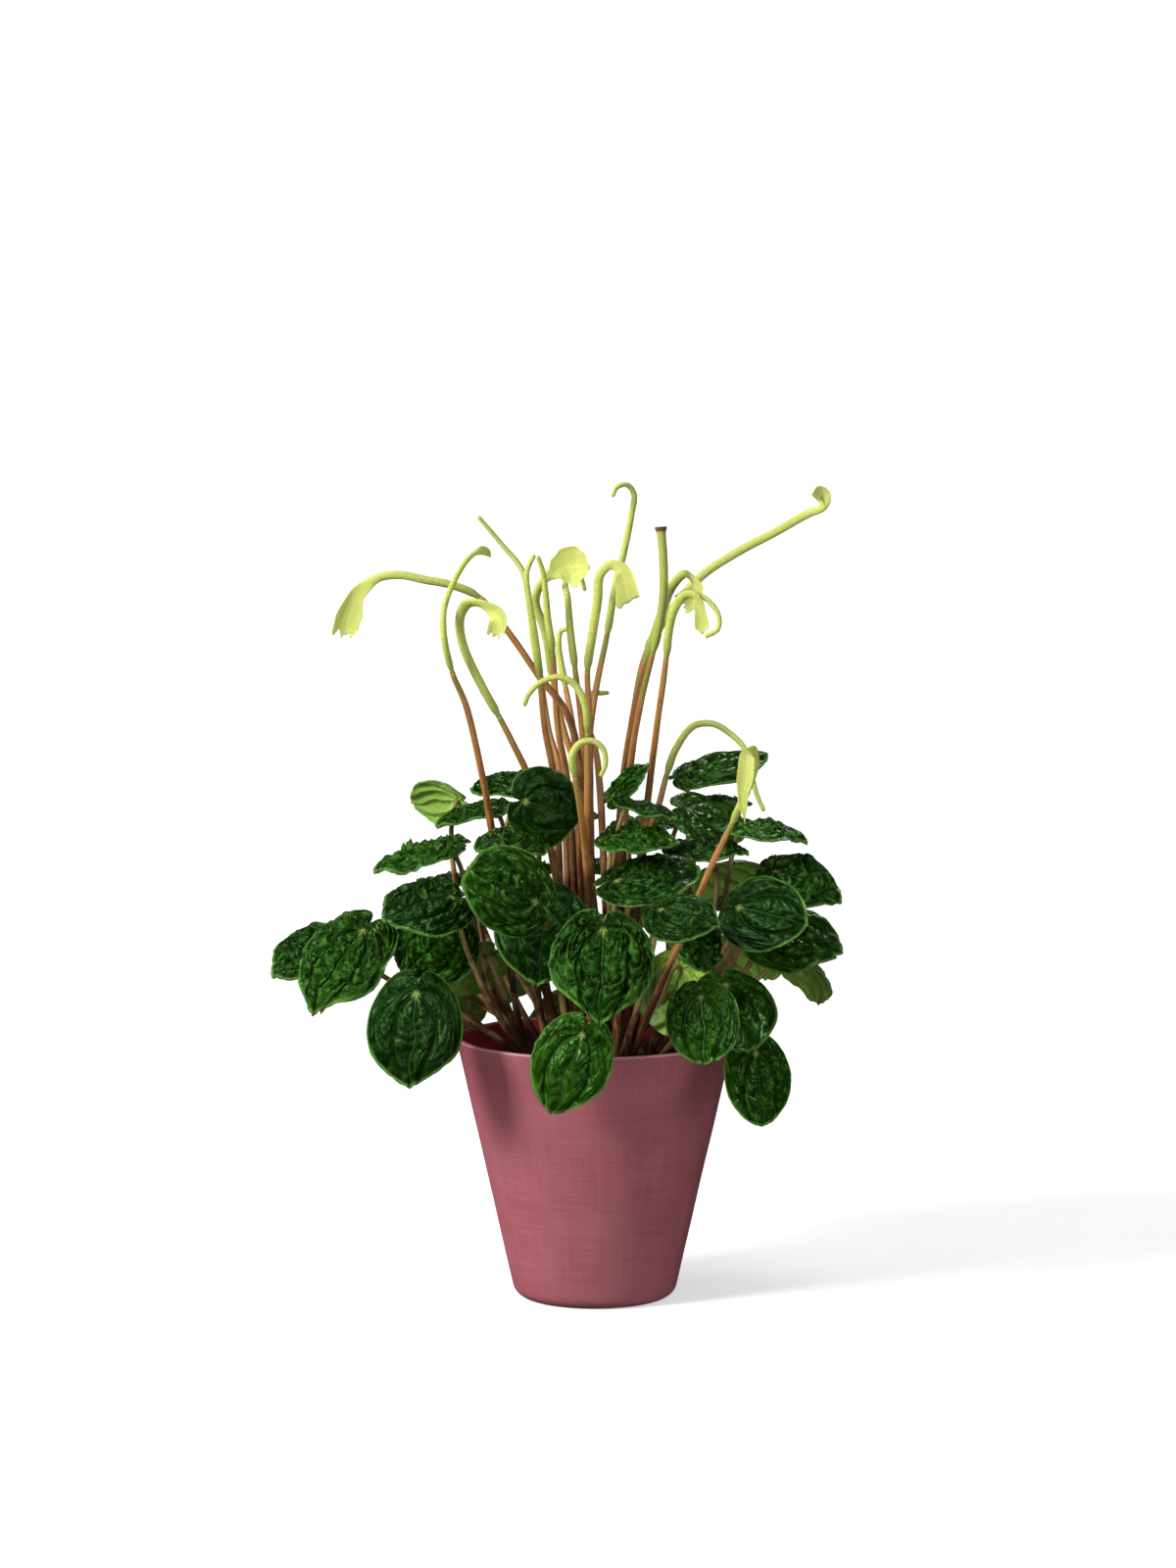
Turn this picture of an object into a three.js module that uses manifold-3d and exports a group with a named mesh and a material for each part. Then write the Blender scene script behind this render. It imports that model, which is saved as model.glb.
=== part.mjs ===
// Ripple peperomia in a tapered pot: corrugated heart-shaped leaves on long
// petioles, and lime flower spikes that bend over on red-brown stalks.
// Millimetres, +Z up, origin at the centre of the pot's flat base.
import * as THREE from "three";
import { mergeVertices } from "three/addons/utils/BufferGeometryUtils.js";
import Module from "manifold-3d";

const wasm = await Module();
wasm.setup();

// ---- Driving dimensions ----------------------------------------------------

const GAP = 0.3; // air between two pieces that touch
const UP = new THREE.Vector3(0, 0, 1);
const FRONT = new THREE.Vector3(0, -1, 0);
const DEGREE = Math.PI / 180;

const POT = {
  height: 106,
  rimRadius: 56,
  baseRadius: 32.2, // where the wall would meet the ground with no rounding
  wall: 2.2,
  floor: 3,
  corner: 4.5,
  lip: 0.8,
  sides: 44,
};

const SOIL = {
  level: 92,
  edgeLevel: 90,
  bed: [[40, -1], [32, 0], [19, 0.6], [0, 0]], // [radius, rise above the level]
  lump: { height: 0.7, from: 15, to: 42 }, // the ring of the bed that is lumpy
  holeDepth: 11,
  sides: 24,
};

const CROWN = {
  ringRadius: 25, // leafy shoots stand in this ring
  shootRadius: 3,
  shootTaper: 0.8,
  shootTop: 6, // above the soil
  shootSides: 6,
  stalkRing: [0, 6.3, 12.8], // flower stalks stand inside it, in rings of 1, 6 and 12
  holeSides: 5,
  holeRoom: 0.9, // a hole's corners stand this far out from its stem
};

const PETIOLE = {
  baseRadius: 1.5,
  topRadius: 0.9,
  sides: 4,
  steps: 4,
  lean: 0.45, // outward slope where it leaves the shoot
  leaving: 0.4, // reach of the bend at each end, as a share of the span
  arriving: 0.28,
  slant: 0.5, // how far it comes in along the blade, against up into it
  sink: 0.1, // its end stops this far short of the blade's middle
};

const BLADE = {
  thickness: 0.8,
  width: 0.8, // a blade's width as a share of the outline's
  spokes: 14, // a vein and a ridge in turn
  rings: 2,
  veins: [0, 44, 96, 152, 208], // degrees from the tip; the last lies past the notch
  arch: 0.35, // how far a side vein starts out wide of its end, in radians
  ripple: 0.055, // rise of a ridge and fall of a furrow, as a share of the length
  droop: 0.3,
  cup: 0.2,
  lobeLift: 0.35,
};

const STALK = {
  baseRadius: 1.95,
  topRadius: 1.35,
  upright: 3, // it starts to lean this far above the soil
  sides: 5,
  steps: 5,
};

const SPIKE = {
  radius: 1.8,
  tipRadius: 0.8,
  cutRadius: 2.3,
  plain: { sides: 5, steps: 8 },
  crested: { sides: 6, steps: 11 },
  crestThickness: 0.7,
};

// ---- Finishes --------------------------------------------------------------

const finish = (color, roughness) =>
  new THREE.MeshStandardMaterial({ color, roughness, metalness: 0 });

const FINISH = {
  pot: finish(0x9a5a64, 0.6),
  soil: finish(0x241a12, 0.95),
  leaf: finish(0x1d4a17, 0.4),
  stalk: finish(0x9c5a35, 0.55),
  spike: finish(0xc4d063, 0.7),
};

// ---- Solids ----------------------------------------------------------------

const MERGE = 1e-4; // corners closer than this are one

// The geometry with shared corners merged, without the faces that shrank to a line.
function welded(geometry) {
  const bare = new THREE.BufferGeometry();
  bare.setAttribute("position", geometry.getAttribute("position"));
  bare.setIndex(geometry.index);
  const merged = mergeVertices(bare, MERGE);
  const index = merged.index.array;
  const kept = [];
  for (let i = 0; i < index.length; i += 3) {
    const [a, b, c] = index.slice(i, i + 3);
    if (a !== b && b !== c && a !== c) kept.push(a, b, c);
  }
  return merged.setIndex(kept);
}

// A closed geometry as a manifold solid.
function solidOf(geometry) {
  const closed = welded(geometry);
  return new wasm.Manifold(
    new wasm.Mesh({
      numProp: 3,
      vertProperties: closed.getAttribute("position").array,
      triVerts: new Uint32Array(closed.index.array),
    }),
  );
}

function geometryOf(solid) {
  const mesh = solid.getMesh();
  const geometry = new THREE.BufferGeometry();
  geometry.setAttribute(
    "position",
    new THREE.BufferAttribute(mesh.vertProperties, 3),
  );
  geometry.setIndex(new THREE.BufferAttribute(mesh.triVerts, 1));
  geometry.computeVertexNormals();
  return geometry;
}

function pieceOf(name, solid, material) {
  const mesh = new THREE.Mesh(geometryOf(solid), material);
  mesh.name = name;
  return mesh;
}

const joined = (solids) => solids.reduce((sum, next) => sum.add(next));

// A lathe profile of [radius, height] pairs as an upright geometry.
function turned(profile, sides) {
  const points = profile.map(([r, z]) => new THREE.Vector2(r, z));
  return new THREE.LatheGeometry(points, sides).rotateX(Math.PI / 2);
}

// Numbers from 0 to 1 that are the same on every run.
function seededRandom(seed) {
  let state = seed;
  return () => {
    state = (state * 16807) % 2147483647;
    return state / 2147483647;
  };
}

// ---- Pot and soil ----------------------------------------------------------

const outerRadius = (z) =>
  POT.baseRadius + ((POT.rimRadius - POT.baseRadius) * z) / POT.height;
const innerRadius = (z) => outerRadius(z) - POT.wall;

function pot() {
  const { height, rimRadius, wall, floor, corner, lip, sides } = POT;
  const profile = [[0, 0]];
  for (const turn of [0, 30, 60, 90]) {
    const out = corner * Math.sin(turn * DEGREE);
    const up = corner * (1 - Math.cos(turn * DEGREE));
    profile.push([outerRadius(up) - corner + out, up]);
  }
  profile.push([rimRadius, height - lip]);
  profile.push([rimRadius - lip / 2, height]);
  profile.push([rimRadius - wall + lip / 2, height]);
  profile.push([innerRadius(height - lip), height - lip]);
  profile.push([innerRadius(floor), floor]);
  profile.push([0, floor]);
  return solidOf(turned(profile, sides));
}

// The soil fills the pot. Each stem stands in a plain upright hole in it.
function soil(stems) {
  const { level, edgeLevel, lump, sides, holeDepth } = SOIL;
  const bottom = POT.floor + GAP;
  const profile = [
    [0, bottom],
    [innerRadius(bottom) - GAP, bottom],
    [innerRadius(edgeLevel) - GAP, edgeLevel],
    ...SOIL.bed.map(([radius, rise]) => [radius, level + rise]),
  ];
  const bed = turned(profile, sides);
  const place = bed.getAttribute("position");
  const bumps = new Map();
  const random = seededRandom(11);
  for (let i = 0; i < place.count; i++) {
    const [x, y, z] = [place.getX(i), place.getY(i), place.getZ(i)];
    const reach = Math.hypot(x, y);
    if (z < edgeLevel || reach < lump.from || reach > lump.to) continue;
    const spot = Math.round(x * 10) + ":" + Math.round(y * 10);
    if (!bumps.has(spot)) bumps.set(spot, lump.height * (random() - 0.5));
    place.setZ(i, z + bumps.get(spot));
  }
  const holes = stems.map(({ x, y, radius }) =>
    solidOf(
      new THREE.CylinderGeometry(radius, radius, 2 * holeDepth, CROWN.holeSides)
        .rotateX(Math.PI / 2)
        .translate(x, y, level),
    ),
  );
  return solidOf(bed).subtract(joined(holes));
}

// ---- Round stems along a curve ----------------------------------------------

// A closed tube along the curve from share `from` to share `to`. section(share)
// gives the half width and the half thickness of each cross-section, and how far
// its flat is turned to the front, from 0 to 1.
function tube(curve, { from = 0, to = 1, steps, sides, section, trim = 0 }) {
  const centres = [];
  const alongs = [];
  for (let k = 0; k <= steps; k++) {
    const share = from + ((to - from) * k) / steps;
    centres.push(curve.getPoint(share));
    alongs.push(curve.getTangent(share));
  }
  centres[0].addScaledVector(alongs[0], trim);
  centres[steps].addScaledVector(alongs[steps], -trim);
  const across = [alongs[0].clone().cross(FRONT).normalize()];
  for (let k = 1; k <= steps; k++) {
    const turn = new THREE.Quaternion().setFromUnitVectors(alongs[k - 1], alongs[k]);
    across.push(across[k - 1].clone().applyQuaternion(turn));
  }
  const cylinder = new THREE.CylinderGeometry(1, 1, 1, sides, steps);
  const place = cylinder.getAttribute("position");
  const spot = new THREE.Vector3();
  for (let i = 0; i < place.count; i++) {
    const k = Math.round((place.getY(i) + 0.5) * steps);
    const { wide, thick, facing = 0 } = section(k / steps);
    const aim = alongs[k].clone().cross(FRONT);
    aim.multiplyScalar(Math.sign(aim.dot(across[k])));
    const side = across[k].clone().lerp(aim, facing).normalize();
    spot
      .copy(centres[k])
      .addScaledVector(alongs[k].clone().cross(side), place.getX(i) * thick)
      .addScaledVector(side, place.getZ(i) * wide);
    place.setXYZ(i, spot.x, spot.y, spot.z);
  }
  return solidOf(cylinder);
}

const vector = ([x, y, z]) => new THREE.Vector3(x, y, z);
const mix = (a, b, share) => a + (b - a) * share;

// ---- Leaves ----------------------------------------------------------------

// The heart-shaped outline: its reach at an angle from the tip, for a unit length.
function outline(angle) {
  const round = 0.88 - 0.5 * Math.sin(angle / 2) ** 2;
  const point = 0.12 * Math.exp(-((angle / 0.28) ** 2));
  const fromNotch = Math.PI - Math.abs(angle);
  const notch = 1 - 0.8 * Math.exp(-((fromNotch / 0.2) ** 2));
  return (round + point) * notch;
}

// Whole numbers on the main veins, and halves on the ridges between them.
function veinCount(angle) {
  const turn = Math.abs(angle) / DEGREE;
  const { veins } = BLADE;
  const last = veins.findIndex((vein) => vein > turn);
  return last - 1 + (turn - veins[last - 1]) / (veins[last] - veins[last - 1]);
}

// A point of the unit blade's middle sheet: x to the tip, z to the upper face.
function bladePoint(reach, angle) {
  const radius = reach * outline(angle);
  const way = angle + BLADE.arch * (1 - reach) * Math.sin(angle);
  const x = radius * Math.cos(way);
  const y = radius * Math.sin(way);
  const swell = reach * (1.9 - 1.2 * reach);
  const ripple = -BLADE.ripple * swell * Math.cos(2 * Math.PI * veinCount(angle));
  const droop = x > 0 ? -BLADE.droop * x * x : BLADE.lobeLift * x * x;
  return [x, y, droop - BLADE.cup * y * y + ripple];
}

// The angle of each spoke of the blade: on the veins and midway between them.
function spokeAngle(index) {
  const half = BLADE.spokes / 2;
  const step = index > half ? index - BLADE.spokes : index;
  const low = Math.floor(Math.abs(step) / 2);
  const vein = BLADE.veins[low];
  const next = Math.abs(step) % 2 ? BLADE.veins[low + 1] : vein;
  const turn = Math.min((vein + next) / 2, 180);
  return Math.sign(step) * turn * DEGREE;
}

// The blade's own axes: `along` runs to the tip and `out` from the upper face.
function bladeFrame({ joint, tip, face }) {
  const start = vector(joint);
  const chord = vector(tip).sub(start);
  const bend = Math.atan(BLADE.droop);
  const toTip = chord.clone().normalize();
  const outwards = new THREE.Vector3(start.x, start.y, 0).normalize();
  const hint = face ? vector(face) : UP.clone().addScaledVector(outwards, 0.6);
  const lift = hint.addScaledVector(toTip, -hint.dot(toTip)).normalize();
  const along = toTip
    .clone()
    .multiplyScalar(Math.cos(bend))
    .addScaledVector(lift, Math.sin(bend));
  const out = lift
    .clone()
    .multiplyScalar(Math.cos(bend))
    .addScaledVector(toTip, -Math.sin(bend));
  const across = out.clone().cross(along);
  return { start, along, across, out, length: chord.length() * Math.cos(bend) };
}

// A closed solid from an open sheet: both faces split alike, and a wall at the edge.
function thickened(sheet, thickness) {
  const count = sheet.getAttribute("position").count;
  const place = sheet.getAttribute("position");
  const normal = sheet.getAttribute("normal");
  const spots = new Float32Array(count * 6);
  for (let i = 0; i < count; i++) {
    for (const [side, sign] of [
      [0, 0.5],
      [count, -0.5],
    ]) {
      const at = (i + side) * 3;
      spots[at] = place.getX(i) + normal.getX(i) * thickness * sign;
      spots[at + 1] = place.getY(i) + normal.getY(i) * thickness * sign;
      spots[at + 2] = place.getZ(i) + normal.getZ(i) * thickness * sign;
    }
  }
  const faces = [];
  const edges = new Set();
  const index = sheet.index.array;
  for (let i = 0; i < index.length; i += 3) {
    const [a, b, c] = index.slice(i, i + 3);
    faces.push(a, b, c, a + count, c + count, b + count);
    for (const [p, q] of [
      [a, b],
      [b, c],
      [c, a],
    ])
      edges.add(p + ":" + q);
  }
  for (const edge of edges) {
    const [p, q] = edge.split(":").map(Number);
    if (edges.has(q + ":" + p)) continue;
    faces.push(q, p, p + count, q, p + count, q + count);
  }
  const closed = new THREE.BufferGeometry();
  closed.setAttribute("position", new THREE.BufferAttribute(spots, 3));
  closed.setIndex(faces);
  return closed;
}

function blade(leaf) {
  const { start, along, across, out, length } = bladeFrame(leaf);
  const { spokes, rings, thickness } = BLADE;
  const disc = new THREE.RingGeometry(0, 1, spokes, rings);
  const place = disc.getAttribute("position");
  for (let i = 0; i < place.count; i++) {
    const index = i % (spokes + 1) % spokes;
    const reach = Math.floor(i / (spokes + 1)) / rings;
    const [x, y, z] = bladePoint(reach, spokeAngle(index));
    const spot = start
      .clone()
      .addScaledVector(along, x * length)
      .addScaledVector(across, y * length * (leaf.width ?? BLADE.width))
      .addScaledVector(out, z * length);
    place.setXYZ(i, spot.x, spot.y, spot.z);
  }
  const sheet = welded(disc);
  sheet.computeVertexNormals();
  return solidOf(thickened(sheet, thickness));
}

// The petiole rises from the shoot and comes to the blade from its lower face.
function petiole(leaf, foot) {
  const { start, along, out } = bladeFrame(leaf);
  const base = foot.clone().setZ(SOIL.level + CROWN.shootTop / 2);
  const end = start.clone().addScaledVector(out, -PETIOLE.sink);
  const outwards = new THREE.Vector3(foot.x, foot.y, 0).normalize();
  const leave = UP.clone().addScaledVector(outwards, PETIOLE.lean).normalize();
  const arrive = out.clone().addScaledVector(along, PETIOLE.slant).normalize();
  const span = start.distanceTo(base);
  const curve = new THREE.CubicBezierCurve3(
    base,
    base.clone().addScaledVector(leave, span * PETIOLE.leaving),
    end.clone().addScaledVector(arrive, -span * PETIOLE.arriving),
    end,
  );
  return tube(curve, {
    steps: PETIOLE.steps,
    sides: PETIOLE.sides,
    section: (share) => {
      const radius = mix(PETIOLE.baseRadius, PETIOLE.topRadius, share);
      return { wide: radius, thick: radius };
    },
  });
}

// A short stem in the soil with its leaves, all grown as one piece.
function shoot({ azimuth, leaves }) {
  const foot = new THREE.Vector3(
    CROWN.ringRadius * Math.cos(azimuth * DEGREE),
    CROWN.ringRadius * Math.sin(azimuth * DEGREE),
    0,
  );
  const low = SOIL.level - SOIL.holeDepth + GAP;
  const high = SOIL.level + CROWN.shootTop;
  const stem = new THREE.CylinderGeometry(
    CROWN.shootRadius * CROWN.shootTaper,
    CROWN.shootRadius,
    high - low,
    CROWN.shootSides,
  )
    .rotateX(Math.PI / 2)
    .translate(foot.x, foot.y, (low + high) / 2);
  const parts = leaves.flatMap((leaf) => [blade(leaf), petiole(leaf, foot)]);
  return joined([solidOf(stem), ...parts]);
}

// Each shoot by its direction round the crown. A leaf is given by the joint of
// its petiole, its tip and, where it doesn't face up and out, its upper face.
const SHOOTS = [
  {
    azimuth: 4,
    leaves: [
      { joint: [80, 4, 140], tip: [92, 14, 116], face: [0.8, 0.6, 0.2] },
      { joint: [58, -18, 194], tip: [84, -28, 188], face: [0.1, -0.1, 1] },
      { joint: [62, 6, 156], tip: [92, 6, 146], width: 0.65 },
    ],
  },
  {
    azimuth: 23,
    leaves: [
      { joint: [60, 27, 141], tip: [72, 44, 121], face: [0.5, 1, 0.2] },
      { joint: [49, 16, 172], tip: [64, 38, 160], face: [0.2, 1, 0.4] },
      { joint: [38, 25, 211], tip: [73, 31, 216], face: [0, -0.2, 1], width: 0.7 },
    ],
  },
  {
    azimuth: 42,
    leaves: [
      { joint: [43, 38, 198], tip: [63, 56, 192], face: [0, 0.3, 1] },
      { joint: [50, 50, 124], tip: [66, 68, 98] },
      { joint: [42, 48, 158], tip: [60, 70, 146] },
    ],
  },
  {
    azimuth: 61,
    leaves: [
      { joint: [34, 62, 112], tip: [46, 80, 84] },
      { joint: [26, 56, 150], tip: [40, 84, 136] },
      { joint: [19, 42, 188], tip: [33, 70, 184] },
    ],
  },
  {
    azimuth: 80,
    leaves: [
      { joint: [14, 70, 126], tip: [20, 94, 102] },
      { joint: [6, 58, 170], tip: [8, 90, 160] },
    ],
  },
  {
    azimuth: 99,
    leaves: [
      { joint: [-10, 66, 110], tip: [-12, 82, 80] },
      { joint: [-12, 60, 148], tip: [-18, 90, 134] },
      { joint: [-12, 46, 190], tip: [-18, 76, 188] },
    ],
  },
  {
    azimuth: 118,
    leaves: [
      { joint: [-36, 60, 128], tip: [-48, 82, 102] },
      { joint: [-28, 48, 168], tip: [-44, 76, 160] },
    ],
  },
  {
    azimuth: 137,
    leaves: [
      { joint: [-54, 46, 116], tip: [-70, 60, 86] },
      { joint: [-48, 42, 150], tip: [-72, 62, 138] },
      { joint: [-26, 28, 206], tip: [-50, 46, 204], face: [0, -0.2, 1] },
    ],
  },
  {
    azimuth: 156,
    leaves: [
      { joint: [-62, 33, 134], tip: [-80, 48, 108] },
      { joint: [-54, 24, 168], tip: [-82, 38, 158] },
      { joint: [-56, 26, 199], tip: [-73, 52, 191], face: [-0.3, 0.8, 0.6] },
    ],
  },
  {
    azimuth: 175,
    leaves: [
      { joint: [-104, 8, 145], tip: [-131, -4, 129], face: [0, -0.4, 1] },
      { joint: [-44, 0, 139], tip: [-66, 6, 121], face: [-0.6, 0.8, 0.2] },
      { joint: [-40, 5, 198], tip: [-66, 12, 190], face: [0, 0.3, 1] },
    ],
  },
  {
    azimuth: 194,
    leaves: [
      { joint: [-92, -24, 152], tip: [-112, -37, 120], face: [-0.4, -0.8, 0.7] },
      { joint: [-58, -20, 186], tip: [-89, -12, 174], face: [0, -0.4, 1] },
    ],
  },
  {
    azimuth: 213,
    leaves: [
      { joint: [-70, -52, 131], tip: [-73, -62, 92], face: [-0.1, -1, 0.1], width: 0.68 },
      { joint: [-56, -40, 167], tip: [-84, -54, 160], face: [-0.2, -0.7, 0.9] },
      { joint: [-56, -21, 152], tip: [-78, -35, 134], face: [-0.3, -1, 0.2] },
    ],
  },
  {
    azimuth: 232,
    leaves: [
      { joint: [-32, -28, 192], tip: [-35, -54, 183], face: [0, -0.5, 1] },
      { joint: [-25, -30, 208], tip: [-14, -46, 189], face: [0, -1, 0.5], width: 0.7 },
    ],
  },
  {
    azimuth: 251,
    leaves: [
      { joint: [-23, -64, 168], tip: [-52, -72, 184], face: [0, -1, 0.45] },
      { joint: [-20, -36, 165], tip: [-23, -46, 131], face: [0, -1, 0.2] },
    ],
  },
  {
    azimuth: 270,
    leaves: [
      { joint: [-5, -67, 117], tip: [-18, -72, 85], face: [0, -1, 0.1], width: 0.66 },
      { joint: [3, -82, 160], tip: [2, -94, 125], face: [0, -1, 0.5] },
    ],
  },
  {
    azimuth: 287,
    leaves: [
      { joint: [8, -46, 174], tip: [43, -42, 179], face: [-0.1, -0.5, 1], width: 0.68 },
      { joint: [7, -36, 191], tip: [34, -44, 188], face: [0, -0.45, 1] },
      { joint: [13, -32, 204], tip: [33, -40, 197], face: [0, 0, 1], width: 0.6 },
      { joint: [9, -19, 206], tip: [19, -19, 217], face: [0, -0.8, 0.6] },
      { joint: [25, -70, 166], tip: [48, -79, 161], face: [0.1, -0.7, 0.8] },
    ],
  },
  {
    azimuth: 321,
    leaves: [
      { joint: [41, -68, 132], tip: [43, -80, 104], face: [-0.1, -1, 0.4], width: 0.7 },
      { joint: [51, -50, 134], tip: [60, -66, 108], face: [0.2, -1, 0.3] },
      { joint: [63, -48, 107], tip: [66, -54, 77], face: [0.1, -1, 0.2], width: 0.64 },
      { joint: [56, -47, 164], tip: [84, -55, 158], face: [0.3, -1, 0.4] },
      { joint: [38, -30, 157], tip: [44, -42, 136], face: [0.6, -0.8, 0.3] },
      { joint: [34, -24, 137], tip: [31, -36, 108], face: [0.5, 0.9, 0.1] },
    ],
  },
  {
    azimuth: 341,
    leaves: [
      { joint: [71, -20, 175], tip: [98, -26, 164], face: [0.1, -0.6, 1] },
      { joint: [67, -26, 151], tip: [98, -34, 145], face: [0.2, -0.8, 0.8] },
      { joint: [37, -2, 198], tip: [63, 8, 186], face: [0, 0.4, 1] },
      { joint: [34, -23, 186], tip: [63, -30, 182], face: [0, -0.1, 1], width: 0.66 },
    ],
  },
];

// ---- Flower spikes ---------------------------------------------------------

// The foot of a stalk: ring 0 is the centre, ring 1 holds 6 feet and ring 2 holds 12.
function stalkFoot([ring, azimuth]) {
  const radius = ring === "edge" ? CROWN.ringRadius : CROWN.stalkRing[ring];
  return [radius * Math.cos(azimuth * DEGREE), radius * Math.sin(azimuth * DEGREE)];
}

// Each spike stands on its stalk's foot and follows its points. The first
// `stalk` points are the bare stalk, and the rest are the spike. A crest flattens
// the spike's end to this half width.
const SPIKES = [
  {
    foot: [1, 210],
    stalk: [[-9, -4, 231], [-23, -8, 253], [-36, -12, 272], [-46, -14, 284]],
    spike: [
      [-57, -16, 289], [-67, -17, 291], [-78, -17, 293], [-88, -16, 291],
      [-95, -14, 284], [-98, -12, 277], [-100, -10, 269],
    ],
    crest: 5,
  },
  {
    foot: [2, 210],
    stalk: [[-40, -14, 186], [-44, -22, 210], [-51, -34, 243], [-56, -40, 256]],
    spike: [
      [-59, -44, 270], [-59, -42, 281], [-55, -38, 292], [-49, -32, 301],
      [-44, -26, 303], [-41, -20, 300],
    ],
    crest: 2,
  },
  {
    foot: [2, 240],
    stalk: [[-18, -14, 185], [-26, -20, 212], [-33, -28, 228], [-38, -31, 238]],
    spike: [
      [-45, -34, 251], [-52, -36, 267], [-53, -38, 277], [-50, -42, 283],
      [-44, -48, 283], [-38, -52, 278], [-39, -54, 271],
    ],
    crest: 4,
  },
  {
    foot: [2, 150],
    stalk: [[-13, 12, 206], [-19, 22, 229], [-22, 30, 248]],
    spike: [
      [-25, 36, 264], [-27, 42, 279], [-30, 46, 292], [-38, 48, 302],
      [-48, 46, 314],
    ],
  },
  {
    foot: [2, 180],
    stalk: [[-16, -9, 208], [-20, -14, 232], [-22, -18, 253]],
    spike: [[-24, -20, 270], [-26, -21, 283], [-27, -20, 294], [-24, -16, 301]],
  },
  {
    foot: [1, 150],
    stalk: [[-11, 3, 207], [-15, 3, 231], [-17, 2, 261]],
    spike: [[-19, 2, 275], [-20, 1, 287], [-21, 0, 294], [-23, -2, 300]],
  },
  {
    foot: [1, 90],
    stalk: [[-6, 9, 206], [-13, 14, 230], [-17, 18, 249]],
    spike: [
      [-20, 16, 268], [-24, 14, 281], [-21, 10, 289], [-15, 6, 293],
      [-9, 2, 295], [-2, -1, 295],
    ],
    crest: 8.5,
  },
  {
    foot: [0, 0],
    stalk: [[-4, 1, 215], [-6, 4, 238], [-8, 6, 254]],
    spike: [
      [-10, 8, 270], [-11, 10, 282], [-12, 16, 288], [-10, 22, 292],
      [-6, 28, 290], [-4, 30, 284],
    ],
  },
  {
    foot: [1, 270],
    stalk: [[-2, -6, 207], [-2, -12, 232], [-3, -16, 255]],
    spike: [
      [-1, -18, 270], [1, -18, 283], [2, -18, 293], [6, -18, 297],
      [11, -20, 296], [14, -21, 291], [17, -22, 284],
    ],
    crest: 5.5,
  },
  {
    foot: [2, 90],
    stalk: [[-3, 16, 211], [-1, 25, 236], [2, 30, 252], [5, 34, 266]],
    spike: [
      [8, 38, 284], [12, 40, 300], [15, 41, 315], [16, 40, 323],
      [13, 38, 327], [9, 36, 326], [7, 34, 322],
    ],
  },
  {
    foot: [1, 330],
    stalk: [[13, -6, 207], [18, -12, 241], [23, -16, 262]],
    spike: [[25, -18, 271], [27, -18, 285], [27, -17, 299], [26, -16, 312]],
    cut: true,
  },
  {
    foot: [2, 30],
    stalk: [[12, 14, 205], [16, 26, 237], [21, 34, 259]],
    spike: [
      [30, 38, 274], [43, 42, 289], [58, 44, 299], [73, 44, 307],
      [87, 42, 315], [93, 40, 318], [93, 37, 323], [88, 35, 323],
    ],
    crest: 3.2,
  },
  {
    foot: [1, 30],
    stalk: [[11, 4, 206], [15, 2, 234], [20, 0, 256]],
    spike: [
      [23, 0, 266], [27, 0, 278], [31, -3, 288], [36, -8, 293],
      [40, -12, 289], [39, -14, 285], [34, -16, 281],
    ],
    crest: 4.2,
  },
  {
    foot: [2, 330],
    stalk: [[21, -7, 201], [24, -20, 229], [28, -30, 261]],
    spike: [
      [29, -32, 272], [31, -34, 280], [35, -36, 286], [39, -38, 286],
      [41, -39, 280], [42, -40, 271],
    ],
    crest: 2.8,
    curl: [[37, -37, 287], [43, -38, 285], [48, -39, 279], [48, -40, 273], [43, -40, 270]],
  },
  {
    foot: [2, 300],
    stalk: [[-2, -22, 178], [-3, -30, 202], [-3, -34, 222], [-3, -36, 232]],
    spike: [
      [-4, -38, 243], [-8, -38, 251], [-14, -38, 254], [-21, -36, 252],
      [-26, -34, 247], [-28, -32, 242],
    ],
  },
  {
    foot: [2, 270],
    stalk: [[-4, -32, 186], [-6, -44, 204], [-8, -50, 216]],
    spike: [
      [-9, -52, 224], [-6, -52, 229], [-1, -52, 230], [3, -52, 227],
      [4, -52, 221], [2, -52, 216],
    ],
  },
  {
    foot: [2, 0],
    stalk: [[20, 8, 182], [26, 12, 199], [29, 16, 210]],
    spike: [
      [33, 18, 221], [40, 18, 230], [48, 16, 231], [55, 14, 227],
      [60, 10, 222], [63, 6, 212], [65, 2, 204], [68, 0, 197],
    ],
  },
  {
    foot: ["edge", 303],
    stalk: [[26, -42, 133], [36, -52, 158], [45, -56, 181], [53, -58, 198]],
    spike: [
      [59, -60, 212], [62, -61, 222], [61, -63, 228], [59, -66, 226],
      [58, -68, 218], [57, -68, 209], [58, -67, 199],
    ],
    crest: 3.9,
    pointed: true,
  },
  {
    foot: [2, 120],
    stalk: [[-7, 26, 204], [-9, 40, 227], [-12, 50, 243]],
    spike: [[-14, 54, 253], [-15, 56, 261], [-14, 58, 266], [-11, 56, 267]],
  },
  {
    foot: [2, 60],
    stalk: [[2, 34, 204], [0, 46, 219], [-4, 54, 231]],
    spike: [[-4, 58, 237], [-1, 60, 240], [3, 62, 240], [6, 64, 240]],
  },
];

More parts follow.
